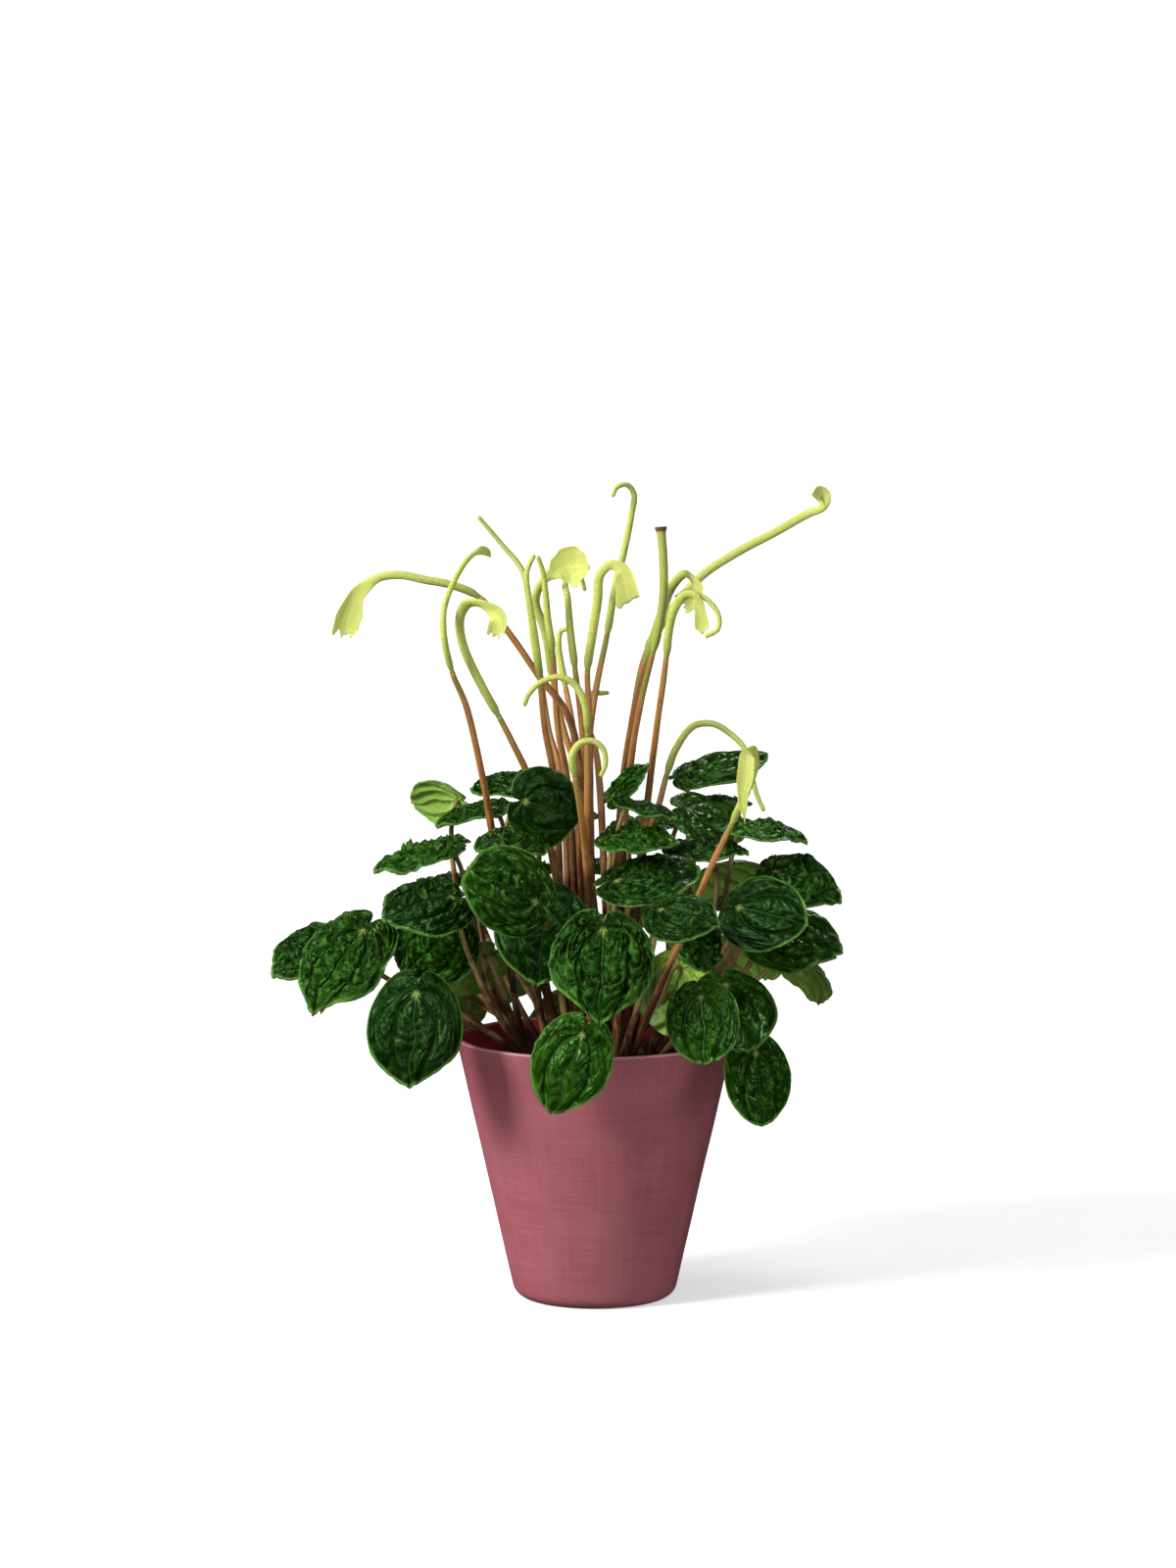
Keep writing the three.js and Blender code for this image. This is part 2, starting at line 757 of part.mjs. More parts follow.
// The spike's half width and half thickness at a share of its length.
function spikeSection(share, { crest, pointed, cut }) {
  const end = cut ? SPIKE.cutRadius : SPIKE.tipRadius;
  const radius = mix(SPIKE.radius, end, share * share);
  if (!crest) return { wide: radius, thick: radius };
  const { smoothstep } = THREE.MathUtils;
  const flat = pointed ? smoothstep(share, 0.35, 0.6) : smoothstep(share, 0.55, 0.85);
  const flare = pointed ? flat - smoothstep(share, 0.6, 1) : smoothstep(share, 0.6, 1);
  return {
    wide: mix(radius, crest, flare),
    thick: mix(radius, SPIKE.crestThickness, flat),
    facing: flat,
  };
}

// The bare stalk and the flower spike that stands on it. A curl is a thin arm
// that leaves the spike and comes back to it.
function flower(kind) {
  const { foot, stalk, spike, crest, curl } = kind;
  const [x, y] = stalkFoot(foot);
  const low = SOIL.level - SOIL.holeDepth + GAP;
  const points = [[x, y, low], [x, y, SOIL.level + STALK.upright], ...stalk, ...spike];
  const curve = smoothCurve(points);
  const meet = (stalk.length + 1) / (points.length - 1);
  const bare = tube(curve, {
    to: meet,
    ...STALK,
    trim: GAP / 2,
    section: (share) => {
      const radius = mix(STALK.baseRadius, STALK.topRadius, share);
      return { wide: radius, thick: radius };
    },
  });
  const blooming = tube(curve, {
    from: meet,
    ...(crest ? SPIKE.crested : SPIKE.plain),
    trim: GAP / 2,
    section: (share) => spikeSection(share, kind),
  });
  if (!curl) return { bare, blooming };
  const arm = tube(smoothCurve(curl), {
    sides: 4,
    steps: curl.length + 1,
    section: () => ({ wide: SPIKE.tipRadius, thick: SPIKE.tipRadius }),
  });
  return { bare, blooming: blooming.add(arm) };
}

const smoothCurve = (points) =>
  new THREE.CatmullRomCurve3(points.map(vector), false, "centripetal");

// ---- The plant -------------------------------------------------------------

const two = (number) => String(number).padStart(2, "0");

const plant = new THREE.Group();
plant.add(pieceOf("pot", pot(), FINISH.pot));

const stems = [
  ...SHOOTS.map(({ azimuth }) => ({
    x: CROWN.ringRadius * Math.cos(azimuth * DEGREE),
    y: CROWN.ringRadius * Math.sin(azimuth * DEGREE),
    radius: CROWN.shootRadius + CROWN.holeRoom,
  })),
  ...SPIKES.map(({ foot }) => {
    const [x, y] = stalkFoot(foot);
    return { x, y, radius: STALK.baseRadius + CROWN.holeRoom };
  }),
];
plant.add(pieceOf("soil", soil(stems), FINISH.soil));

SHOOTS.forEach((each, index) => {
  plant.add(pieceOf("leafy_shoot_" + two(index + 1), shoot(each), FINISH.leaf));
});
SPIKES.forEach((each, index) => {
  const { bare, blooming } = flower(each);
  plant.add(pieceOf("flower_stalk_" + two(index + 1), bare, FINISH.stalk));
  plant.add(pieceOf("flower_spike_" + two(index + 1), blooming, FINISH.spike));
});

export default plant;
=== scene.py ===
"""Ripple peperomia in a tapered pot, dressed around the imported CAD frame.

Shapes are worked out in millimetres and made metres as each piece is finished.
+Z is up, -Y is the front, and the origin is the centre of the pot's flat base.
"""

from __future__ import annotations

import logging
import math
import random
from dataclasses import dataclass, replace
from enum import Enum, IntEnum
from functools import cached_property
from typing import Callable, Iterable

import bmesh
import bpy
from mathutils import Matrix, Vector, noise


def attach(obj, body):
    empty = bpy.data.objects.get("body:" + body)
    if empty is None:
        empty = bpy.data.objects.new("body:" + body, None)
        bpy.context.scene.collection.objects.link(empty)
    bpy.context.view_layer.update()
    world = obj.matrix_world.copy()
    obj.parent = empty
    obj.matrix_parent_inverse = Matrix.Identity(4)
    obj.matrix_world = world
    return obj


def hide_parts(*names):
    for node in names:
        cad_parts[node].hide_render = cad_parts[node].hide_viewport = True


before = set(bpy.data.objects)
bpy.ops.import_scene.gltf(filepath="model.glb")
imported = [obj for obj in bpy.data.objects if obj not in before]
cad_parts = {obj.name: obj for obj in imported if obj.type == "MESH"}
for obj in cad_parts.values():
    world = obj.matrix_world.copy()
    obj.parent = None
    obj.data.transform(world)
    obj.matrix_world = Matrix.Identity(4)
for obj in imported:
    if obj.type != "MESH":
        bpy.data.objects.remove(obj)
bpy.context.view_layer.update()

log = logging.getLogger("peperomia")

MM = 0.001
UP = Vector((0, 0, 1))
FRONT = Vector((0, -1, 0))
CLOSE = 1e-4  # mm, and corners closer than this are one
PATH_SAMPLES = 160  # spots at which a path is measured
NUDGE = 1e-3  # the share of a path over which its direction is taken
FLESH = (0.8, 1.0, 0.3)  # how far each colour of light travels in green flesh
STEM_FOOT = 81.3  # the height at which stems end in the soil
STEM_FREE = 95.0  # the height at which they are clear of the soil and may bend

Triple = tuple[float, float, float]
Colour = tuple[float, float, float]
Curve = tuple[tuple[float, float], ...]
Mesh = bmesh.types.BMesh
Piece = bpy.types.Object
Material = bpy.types.Material
Output = bpy.types.NodeSocket
Outputs = bpy.types.NodeOutputs
Group = bpy.types.NodeTree
Feed = Output | float | tuple[float, ...]
Place = Callable[[float, float], Vector]


# ---- Small sums ----


def blend(a: float, b: float, share: float) -> float:
    """The value that lies `share` of the way from a to b."""
    return a + (b - a) * share


def ease(value: float, low: float, high: float) -> float:
    """0 below low, 1 above high, and a smooth rise between them."""
    share = min(max((value - low) / (high - low), 0.0), 1.0)
    return share * share * (3 - 2 * share)


def bell(value: float, width: float) -> float:
    """1 at 0, and a smooth fall to nothing on both sides of it."""
    return math.exp(-((value / width) ** 2))


def along_curve(curve: Curve, share: float) -> float:
    """Reads a curve of (share, value) pairs, eased from pair to pair.

    Args:
        curve: The pairs, by rising share.
        share: Where to read it.

    Returns:
        The value there.
    """
    for (low, start), (high, end) in zip(curve, curve[1:]):
        if share <= high:
            return blend(start, end, ease(share, low, high))
    return curve[-1][1]


def ring_point(radius: float, azimuth: float) -> tuple[float, float]:
    """The x and y of a point at a radius and a direction in degrees."""
    turn = math.radians(azimuth)
    return radius * math.cos(turn), radius * math.sin(turn)


# ---- Paths ----


@dataclass
class GrowthPath:
    """A centripetal Catmull-Rom curve through its points."""

    points: list[Vector]

    def at(self, share: float) -> Vector:
        """Finds the point at a share of the curve, counted by its points.

        Args:
            share: From 0 to 1.

        Returns:
            The point.
        """
        last = len(self.points) - 1
        place = last * share
        index = min(int(place), last - 1)
        within = place - index
        start, end = self.points[index], self.points[index + 1]
        before = self.points[index - 1] if index else 2 * start - end
        after = self.points[index + 2] if index + 2 <= last else 2 * end - start
        step = max((end - start).length_squared ** 0.25, CLOSE)
        back = (start - before).length_squared ** 0.25
        ahead = (after - end).length_squared ** 0.25
        back = back if back > CLOSE else step
        ahead = ahead if ahead > CLOSE else step
        middle = (end - start) / step
        leave = step * ((start - before) / back - (end - before) / (back + step) + middle)
        arrive = step * (middle - (after - start) / (step + ahead) + (after - end) / ahead)
        return (
            start
            + leave * within
            + (3 * (end - start) - 2 * leave - arrive) * within**2
            + (2 * (start - end) + leave + arrive) * within**3
        )


@dataclass
class BentPath:
    """A cubic Bezier curve."""

    start: Vector
    leave: Vector
    arrive: Vector
    end: Vector

    def at(self, share: float) -> Vector:
        """Finds the point at a share of the curve.

        Args:
            share: From 0 to 1.

        Returns:
            The point.
        """
        rest = 1 - share
        return (
            self.start * rest**3
            + self.leave * (3 * rest * rest * share)
            + self.arrive * (3 * rest * share * share)
            + self.end * share**3
        )


@dataclass
class Ring:
    """One cross-section of a stem."""

    centre: Vector
    along: Vector
    across: Vector
    share: float  # of the stretch, from 0 to 1
    travelled: float  # mm from the stretch's start
    left: float  # mm to the stretch's end

    def rim(self, radius: float, turn: float) -> Vector:
        """The point at a radius from the centre and a turn in radians."""
        up = self.along.cross(self.across)
        return self.centre + radius * (self.across * math.cos(turn) + up * math.sin(turn))


Reach = Callable[[Ring, float], Vector]  # a stem's surface at a turn in radians


def rings_of(path: GrowthPath | BentPath, low: float, high: float, spacing: float) -> list[Ring]:
    """Cuts a stretch of a path into rings an even distance apart.

    Args:
        path: The path to follow.
        low: Share of the path where the stretch starts.
        high: Share of the path where it ends.
        spacing: Rough distance from ring to ring.

    Returns:
        The rings, whose across directions turn as little as they can.
    """
    shares = [blend(low, high, k / PATH_SAMPLES) for k in range(PATH_SAMPLES + 1)]
    spots = [path.at(share) for share in shares]
    lengths = [0.0]
    for here, there in zip(spots, spots[1:]):
        lengths.append(lengths[-1] + (there - here).length)
    total = lengths[-1]
    count = max(4, round(total / spacing))
    rings: list[Ring] = []
    index = 0
    for k in range(count + 1):
        travelled = total * k / count
        while index < PATH_SAMPLES - 1 and lengths[index + 1] < travelled:
            index += 1
        part = (travelled - lengths[index]) / (lengths[index + 1] - lengths[index])
        share = blend(shares[index], shares[index + 1], min(part, 1.0))
        ahead = path.at(min(share + NUDGE, 1.0))
        along = (ahead - path.at(max(share - NUDGE, 0.0))).normalized()
        if rings:
            turn = rings[-1].along.rotation_difference(along)
            across = turn @ rings[-1].across
        else:
            across = along.cross(FRONT).normalized()
        stretch = (share - low) / (high - low)
        rings.append(Ring(path.at(share), along, across, stretch, travelled, total - travelled))
    return rings


# ---- Meshes ----


CHART = "chart"  # the UV map, which runs round a stem and along it


class Layer(Enum):
    """What a mesh says about each of its points, beside its chart."""

    TONE = "tone"  # how bright and fresh a leaf or spike is, 0 to 1
    PHASE = "phase"  # whole numbers in the valleys between wrinkles
    PUCKER = "pucker"  # how deep a leaf's wrinkles are, about 0 to 1
    FLAT = "flat"  # how far a spike is flattened to a crest, 0 to 1
    VEIN = "vein"  # main veins from the midrib
    GAP = "gap"  # mm to the nearest main vein

    def on(self, bm: Mesh) -> bmesh.types.BMLayerItem:
        """The layer of a mesh that has it."""
        return bm.verts.layers.float[self.value]

    def fill(self, bm: Mesh, value: float) -> None:
        """Gives every point of a mesh the same value.

        Args:
            bm: The mesh.
            value: The value.
        """
        layer = self.on(bm)
        for vert in bm.verts:
            vert[layer] = value


class LeafPart(IntEnum):
    """The material numbers of a leafy shoot."""

    UPPER = 0
    UNDERSIDE = 1
    MARGIN = 2
    PETIOLE = 3


class PotPart(IntEnum):
    """The material numbers of the pot."""

    WALL = 0
    # the inner wall, the same plastic painted a brighter crimson as painted light bounced inside the pot
    LIT_INNER_WALL = 1
    # the rim, whose lighter pink is painted highlight along its top edge
    RIM = 2


class SpikePart(IntEnum):
    """The material numbers of a flower spike."""

    SKIN = 0
    CUT = 1


def new_mesh() -> Mesh:
    """Makes an empty mesh with the plant's layers.

    Returns:
        The mesh.
    """
    bm = bmesh.new()
    bm.loops.layers.uv.new(CHART)
    for layer in Layer:
        bm.verts.layers.float.new(layer.value)
    return bm


def wrapped_grid(bm: Mesh, columns: int, rows: int, place: Place) -> None:
    """Adds a grid that is wrapped round a shape, with its seam and poles closed.

    Args:
        bm: A mesh with nothing but its layers.
        columns: Faces round the shape.
        rows: Faces along it.
        place: Gives the spot of the grid's point at (round, along), each 0 to 1.
    """
    grid = bmesh.ops.create_grid(bm, x_segments=columns, y_segments=rows, size=1, calc_uvs=True)
    for vert in grid["verts"]:
        vert.co = place((vert.co.x + 1) / 2, (vert.co.y + 1) / 2)
    close_up(bm)


def close_up(bm: Mesh) -> None:
    """Merges the corners that coincide and turns the faces outwards.

    Args:
        bm: The mesh.
    """
    bmesh.ops.remove_doubles(bm, verts=bm.verts[:], dist=CLOSE)
    bmesh.ops.dissolve_degenerate(bm, edges=bm.edges[:], dist=CLOSE / 10)
    bmesh.ops.recalc_face_normals(bm, faces=bm.faces[:])


def thicken(bm: Mesh, thickness: float) -> None:
    """Gives a leaf's sheet an underside and a margin.

    Args:
        bm: The sheet, whose faces point up. It stays the upper face.
        thickness: How far below it the underside lies.
    """
    bm.normal_update()
    sheet = bm.faces[:] + bm.edges[:] + bm.verts[:]
    copy = bmesh.ops.duplicate(bm, geom=sheet)["geom"]
    lower = [item for item in copy if isinstance(item, bmesh.types.BMFace)]
    for vert in (item for item in copy if isinstance(item, bmesh.types.BMVert)):
        vert.co -= vert.normal * thickness
    bmesh.ops.reverse_faces(bm, faces=lower)
    for face in lower:
        face.material_index = LeafPart.UNDERSIDE
    rim = [edge for edge in bm.edges if edge.is_boundary]
    for face in bmesh.ops.bridge_loops(bm, edges=rim)["faces"]:
        face.material_index = LeafPart.MARGIN
    for edge in rim:
        edge.smooth = False


def add_part(whole: Mesh, part: Mesh) -> None:
    """Moves a part's mesh into the whole's, and frees the part.

    Args:
        whole: The mesh that grows.
        part: The mesh that goes into it.
    """
    mesh = bpy.data.meshes.new("part")
    part.to_mesh(mesh)
    part.free()
    whole.from_mesh(mesh)
    bpy.data.meshes.remove(mesh)


def finished(name: str, bm: Mesh, materials: Iterable[Material]) -> Piece:
    """Turns a mesh in millimetres into a finished object in metres.

    Args:
        name: The piece's name.
        bm: Its mesh, which is freed.
        materials: Its materials, in the order of its faces' material numbers.

    Returns:
        The object, at the origin, with its place in its mesh.
    """
    bmesh.ops.scale(bm, vec=(MM, MM, MM), verts=bm.verts[:])
    for face in bm.faces:
        face.smooth = True
    mesh = bpy.data.meshes.new(name)
    bm.to_mesh(mesh)
    bm.free()
    for material in materials:
        mesh.materials.append(material)
    piece = bpy.data.objects.new(name, mesh)
    bpy.context.scene.collection.objects.link(piece)
    return piece


def stem(rings: list[Ring], sides: int, reach: Reach, part: int = 0, blunt: bool = False) -> Mesh:
    """Makes a closed stem of rings.

    Args:
        rings: The stem's cross-sections.
        sides: Faces round it.
        reach: Gives the surface point of a ring at a turn.
        part: The material number of its faces.
        blunt: Whether the far end is left to `reach` to close, as a thin edge.

    Returns:
        The stem's mesh.
    """
    bm = new_mesh()
    stops = [rings[0], *rings] if blunt else [rings[0], *rings, rings[-1]]
    rows = len(stops) - 1

    def place(around: float, ahead: float) -> Vector:
        """Finds the surface point, or the ring's centre at a closed end.

        Args:
            around: Share of the way round.
            ahead: Share of the way along.

        Returns:
            The point.
        """
        index = round(ahead * rows)
        if index == 0 or (index == rows and not blunt):
            return stops[index].centre.copy()
        return reach(stops[index], math.tau * around)

    wrapped_grid(bm, sides, rows, place)
    for face in bm.faces:
        face.material_index = part
    return bm


# ---- Shader graphs ----


def rgba(value: Feed) -> Feed:
    """A colour with its alpha, or the value as it is."""
    is_colour = isinstance(value, tuple) and len(value) == 3
    return (*value, 1.0) if is_colour else value


class Graph:
    """Adds nodes to a shader tree and joins them."""

    def __init__(self, tree: Group) -> None:
        """Keeps the tree."""
        self.tree = tree

    def feed(self, socket: Output, value: Feed) -> None:
        """Links a socket to another, or sets its own value.

        Args:
            socket: The input socket.
            value: Another node's output, or a value.
        """
        if isinstance(value, bpy.types.NodeSocket):
            self.tree.links.new(value, socket)
        else:
            socket.default_value = value

    def add(
        self, kind: str, feeds: dict[str | int, Feed] | None = None, **settings: object
    ) -> bpy.types.Node:
        """Adds a node.

        Args:
            kind: The node's type.
            feeds: What goes into each of its inputs.
            **settings: The node's own properties.

        Returns:
            The node.
        """
        node = self.tree.nodes.new(kind)
        for name, value in settings.items():
            setattr(node, name, value)
        for key, value in (feeds or {}).items():
            self.feed(node.inputs[key], value)
        return node

    def math(self, operation: str, a: Feed, b: Feed = 0.0) -> Output:
        """The result of a sum on one or two values."""
        return self.add("ShaderNodeMath", {0: a, 1: b}, operation=operation).outputs[0]

    def times(self, a: Feed, b: Feed) -> Output:
        """The product of two values."""
        return self.math("MULTIPLY", a, b)

    def plus(self, a: Feed, b: Feed) -> Output:
        """The sum of two values."""
        return self.math("ADD", a, b)

    def fade(self, value: Feed, low: Feed, high: Feed, start: Feed = 0.0, end: Feed = 1.0) -> Output:
        """A smooth change from start to end as a value goes from low to high."""
        feeds = dict(enumerate((value, low, high, start, end)))
        return self.add("ShaderNodeMapRange", feeds, interpolation_type="SMOOTHSTEP").outputs[0]

    def mix(self, share: Feed, a: Feed, b: Feed) -> Output:
        """A colour between two colours."""
        feeds = {0: share, 6: rgba(a), 7: rgba(b)}
        return self.add("ShaderNodeMix", feeds, data_type="RGBA").outputs[2]

    def over(self, base: Feed, *coats: tuple[Feed, float, Colour]) -> Feed:
        """Lays colours over a base.

        Args:
            base: The base's colour.
            *coats: Each coat's mask, the share of it that counts, and its colour.

        Returns:
            The colour that shows.
        """
        for mask, share, colour in coats:
            base = self.mix(self.times(mask, share), base, colour)
        return base

    def split(self, vector: Feed) -> Outputs:
        """The three parts of a vector."""
        return self.add("ShaderNodeSeparateXYZ", {0: vector}).outputs

    def join(self, x: Feed, y: Feed, z: Feed = 0.0) -> Output:
        """A vector of three parts."""
        return self.add("ShaderNodeCombineXYZ", {0: x, 1: y, 2: z}).outputs[0]

    def noise(self, place: Feed, scale: Feed, detail: float) -> Output:
        """Soft noise round 0.5."""
        feeds = {"Vector": place, "Scale": scale, "Detail": detail}
        return self.add("ShaderNodeTexNoise", feeds).outputs["Fac"]


class Socket(Enum):
    """The kinds of socket that an effect has."""

    VALUE = "NodeSocketFloat"
    VECTOR = "NodeSocketVector"


class Effect(Graph):
    """An effect that several materials share, as a node group."""

    def __init__(self, name: str, vectors: Iterable[str], values: Iterable[str]) -> None:
        """Starts a group.

        Args:
            name: Its name.
            vectors: Its inputs that are vectors.
            values: Its inputs that are values.
        """
        super().__init__(bpy.data.node_groups.new(name, "ShaderNodeTree"))
        for label in vectors:
            self.socket(label, "INPUT", Socket.VECTOR)
        for label in values:
            self.socket(label, "INPUT", Socket.VALUE)
        self.entry = self.add("NodeGroupInput").outputs

    def socket(self, name: str, side: str, kind: Socket) -> None:
        """Gives the group a socket on one of its sides."""
        self.tree.interface.new_socket(name, in_out=side, socket_type=kind.value)

    def finish(self, **values: Feed) -> Group:
        """Gives the group its outputs, all of them values.

        Args:
            **values: What each output gives.

        Returns:
            The group.
        """
        for name in values:
            self.socket(name, "OUTPUT", Socket.VALUE)
        self.add("NodeGroupOutput", values)
        return self.tree


class SizedEffect(Effect):
    """An effect that lies on a place, at a size in mm."""

    def __init__(self, name: str) -> None:
        """Starts the group, and works out its textures' scale.

        Args:
            name: Its name.
        """
        super().__init__(name, ("Place",), ("Size mm",))
        self.place = self.entry["Place"]
        self.scale = self.math("DIVIDE", 1 / MM, self.entry["Size mm"])


@dataclass
class Effects:
    """The shared effects, each built once."""

    vein_width: tuple[float, float] = (0.55, 0.2)  # mm, at the joint and the margin
    vein_depth: tuple[float, float] = (1.0, 0.35)  # by the midrib and by the notch
    vein_rank: tuple[float, float] = (1.2, 2.8)  # veins from the midrib for these
    midrib: tuple[float, float] = (0.08, 0.35)  # mm from its middle
    joint: tuple[float, float] = (0.03, 0.14)  # shares of the way to the margin
    ray: float = 0.035  # how far the joint's colour runs along the veins
    margin: tuple[float, float] = (0.955, 0.98)  # shares of the way to it
    fold: float = 0.12  # of the noise's range, from a fold's bottom to its top

    def __post_init__(self) -> None:
        """Builds the groups."""
        self.veins = self.vein_group()
        self.grain = self.grain_group()
        self.cells = self.cell_group()
        self.folds = self.fold_group()
        self.streaks = self.streak_group()

    def vein_group(self) -> Group:
        """Shows where a blade's veins, joint and margin are.

        It reads the chart, the count of veins from the midrib, and the distance to
        the nearest one in mm.

        Returns:
            The group.
        """
        group = Effect("leaf veins", ("Chart",), ("Count", "Gap"))
        count, gap = group.entry["Count"], group.entry["Gap"]
        reach = group.split(group.entry["Chart"])[1]
        width = group.fade(reach, 0.0, 1.0, *self.vein_width)
        depth = group.fade(count, *self.vein_rank, *self.vein_depth)
        middle = group.math("LESS_THAN", count, 0.5)
        rays = group.plus(reach, group.times(gap, self.ray))
        return group.finish(
            Line=group.fade(group.math("DIVIDE", gap, width), 0.3, 1.2, depth, 0.0),
            Furrow=group.fade(gap, 0.1, 1.0, depth, 0.0),
            Midrib=group.times(group.fade(gap, *self.midrib, 1.0, 0.0), middle),
            Joint=group.fade(rays, *self.joint, 1.0, 0.0),
            Margin=group.fade(reach, *self.margin),
        )

    def grain_group(self) -> Group:
        """Makes soft noise of a chosen size.

        Returns:
            The group, which gives its height and a high-contrast mask.
        """
        group = SizedEffect("grain")
        height = group.noise(group.place, group.scale, 4.0)
        return group.finish(Height=height, Mask=group.fade(height, 0.38, 0.62))

    def cell_group(self) -> Group:
        """Makes rounded cells of a chosen size.

        Returns:
            The group, which gives their height and a value for each cell.
        """
        group = SizedEffect("cells")
        feeds = {"Vector": group.place, "Scale": group.scale, "Smoothness": 0.35}
        cells = group.add("ShaderNodeTexVoronoi", feeds, feature="SMOOTH_F1").outputs
        return group.finish(
            Height=group.fade(cells["Distance"], 0.1, 0.7, 1.0, 0.0),
            Cell=group.add("ShaderNodeSeparateColor", {0: cells["Color"]}).outputs[0],
        )

    def fold_group(self) -> Group:
        """Makes fine wandering folds, as on crumpled skin, a chosen size apart.

        Returns:
            The group, which gives their height.
        """
        group = SizedEffect("folds")
        value = group.noise(group.place, group.scale, 2.0)
        off = group.math("ABSOLUTE", group.math("SUBTRACT", value, 0.5))
        return group.finish(Height=group.fade(off, 0.0, self.fold))

    def streak_group(self) -> Group:
        """Makes fine streaks along a stem, read from its chart.

        Returns:
            The group, which gives their height and a high-contrast mask.
        """
        group = Effect("streaks", ("Chart",), ("Around", "Along"))
        chart = group.split(group.entry["Chart"])
        turn = group.times(chart[0], math.tau)
        spot = group.join(
            group.times(group.math("COSINE", turn), group.entry["Around"]),
            group.times(group.math("SINE", turn), group.entry["Around"]),
            group.times(chart[1], group.entry["Along"]),
        )
        height = group.noise(spot, 1.0, 3.0)
        return group.finish(Height=height, Mask=group.fade(height, 0.42, 0.6))


class Paint(Graph):
    """A material under way: its graph, its Principled shader and its effects."""

    def __init__(self, name: str, effects: Effects) -> None:
        """Makes the material.

        Args:
            name: Its name.
            effects: The shared effects.
        """
        self.material = bpy.data.materials.new(name)
        self.material.use_nodes = True
        super().__init__(self.material.node_tree)
        self.tree.nodes.clear()
        self.effects = effects
        self.shader = self.add("ShaderNodeBsdfPrincipled")
        self.add("ShaderNodeOutputMaterial", {"Surface": self.shader.outputs[0]})

    @cached_property
    def place(self) -> Output:
        """Object coordinates, in metres."""
        return self.add("ShaderNodeTexCoord").outputs["Object"]

    @cached_property
    def chart(self) -> Output:
        """The mesh's own UV map."""
        return self.add("ShaderNodeUVMap", uv_map=CHART).outputs[0]

    @cached_property
    def along(self) -> Output:
        """The share of the way along a stem."""
        return self.split(self.chart)[1]

    def attribute(self, layer: Layer) -> Output:
        """A value that the mesh says about each of its points."""
        return self.add("ShaderNodeAttribute", attribute_name=layer.value).outputs["Fac"]

    def effect(self, group: Group, feeds: dict[str, Feed]) -> Outputs:
        """The outputs of a shared effect, placed with its own values."""
        return self.add("ShaderNodeGroup", feeds, node_tree=group).outputs

    def sized(self, group: Group, size: float) -> Outputs:
        """A shared effect that lies on the piece's own place, at a size in mm."""
        return self.effect(group, {"Place": self.place, "Size mm": size})

    def cells(self, size: float) -> Outputs:
        """Rounded cells of a size in mm."""
        return self.sized(self.effects.cells, size)

    def grain(self, size: float) -> Outputs:
        """Soft noise of a size in mm."""
        return self.sized(self.effects.grain, size)

    def streaks(self, around: float, along: float) -> Outputs:
        """Streaks along a stem, by how often they change round it and along it."""
        feeds = {"Chart": self.chart, "Around": around, "Along": along}
        return self.effect(self.effects.streaks, feeds)

    def veins(self) -> Outputs:
        """Reads a leaf's veins from its mesh.

        Returns:
            The masks of its veins, joint and margin.
        """
        count, gap = self.attribute(Layer.VEIN), self.attribute(Layer.GAP)
        feeds = {"Chart": self.chart, "Count": count, "Gap": gap}
        return self.effect(self.effects.veins, feeds)

    def vary(self, height: Feed, start: float, end: float) -> Output:
        """A value that follows soft noise from start to end."""
        return self.fade(height, 0.3, 0.7, start, end)

    def shade(self, feeds: dict[str, Feed]) -> None:
        """Feeds the shader's inputs.

        Args:
            feeds: What goes into each of them.
        """
        for name, value in feeds.items():
            self.feed(self.shader.inputs[name], value)

    def flesh(self, weight: float, spread: float) -> None:
        """Lets light through as thin green flesh does.

        Args:
            weight: How much of its light comes through.
            spread: How far light travels inside, in mm.
        """
        self.shade({"Subsurface Weight": weight, "Subsurface Radius": FLESH})
        self.shade({"Subsurface Scale": spread * MM})

    def relief(self, *bumps: tuple[Feed, float]) -> None:
        """Raises the surface.

        Args:
            *bumps: Each bump's height, from 0 to 1, and how far 1 stands out in mm.
        """
        feeds: dict[str | int, Feed] = {"Strength": 1.0}
        for height, depth in bumps:
            feeds |= {"Height": height, "Distance": depth * MM}
            feeds["Normal"] = self.add("ShaderNodeBump", feeds).outputs[0]
        self.feed(self.shader.inputs["Normal"], feeds["Normal"])


# ---- Finishes ----


@dataclass(frozen=True)
class Finish:
    """How one kind of surface looks."""

    name: str

    def material(self, effects: Effects) -> Material:
        """Builds the material.

        Args:
            effects: The shared effects.

        Returns:
            The material.
        """
        paint = Paint(self.name, effects)
        self.dress(paint)
        return paint.material

    def dress(self, paint: Paint) -> None:
        """Adds the finish's own nodes to the material under way."""
        raise NotImplementedError


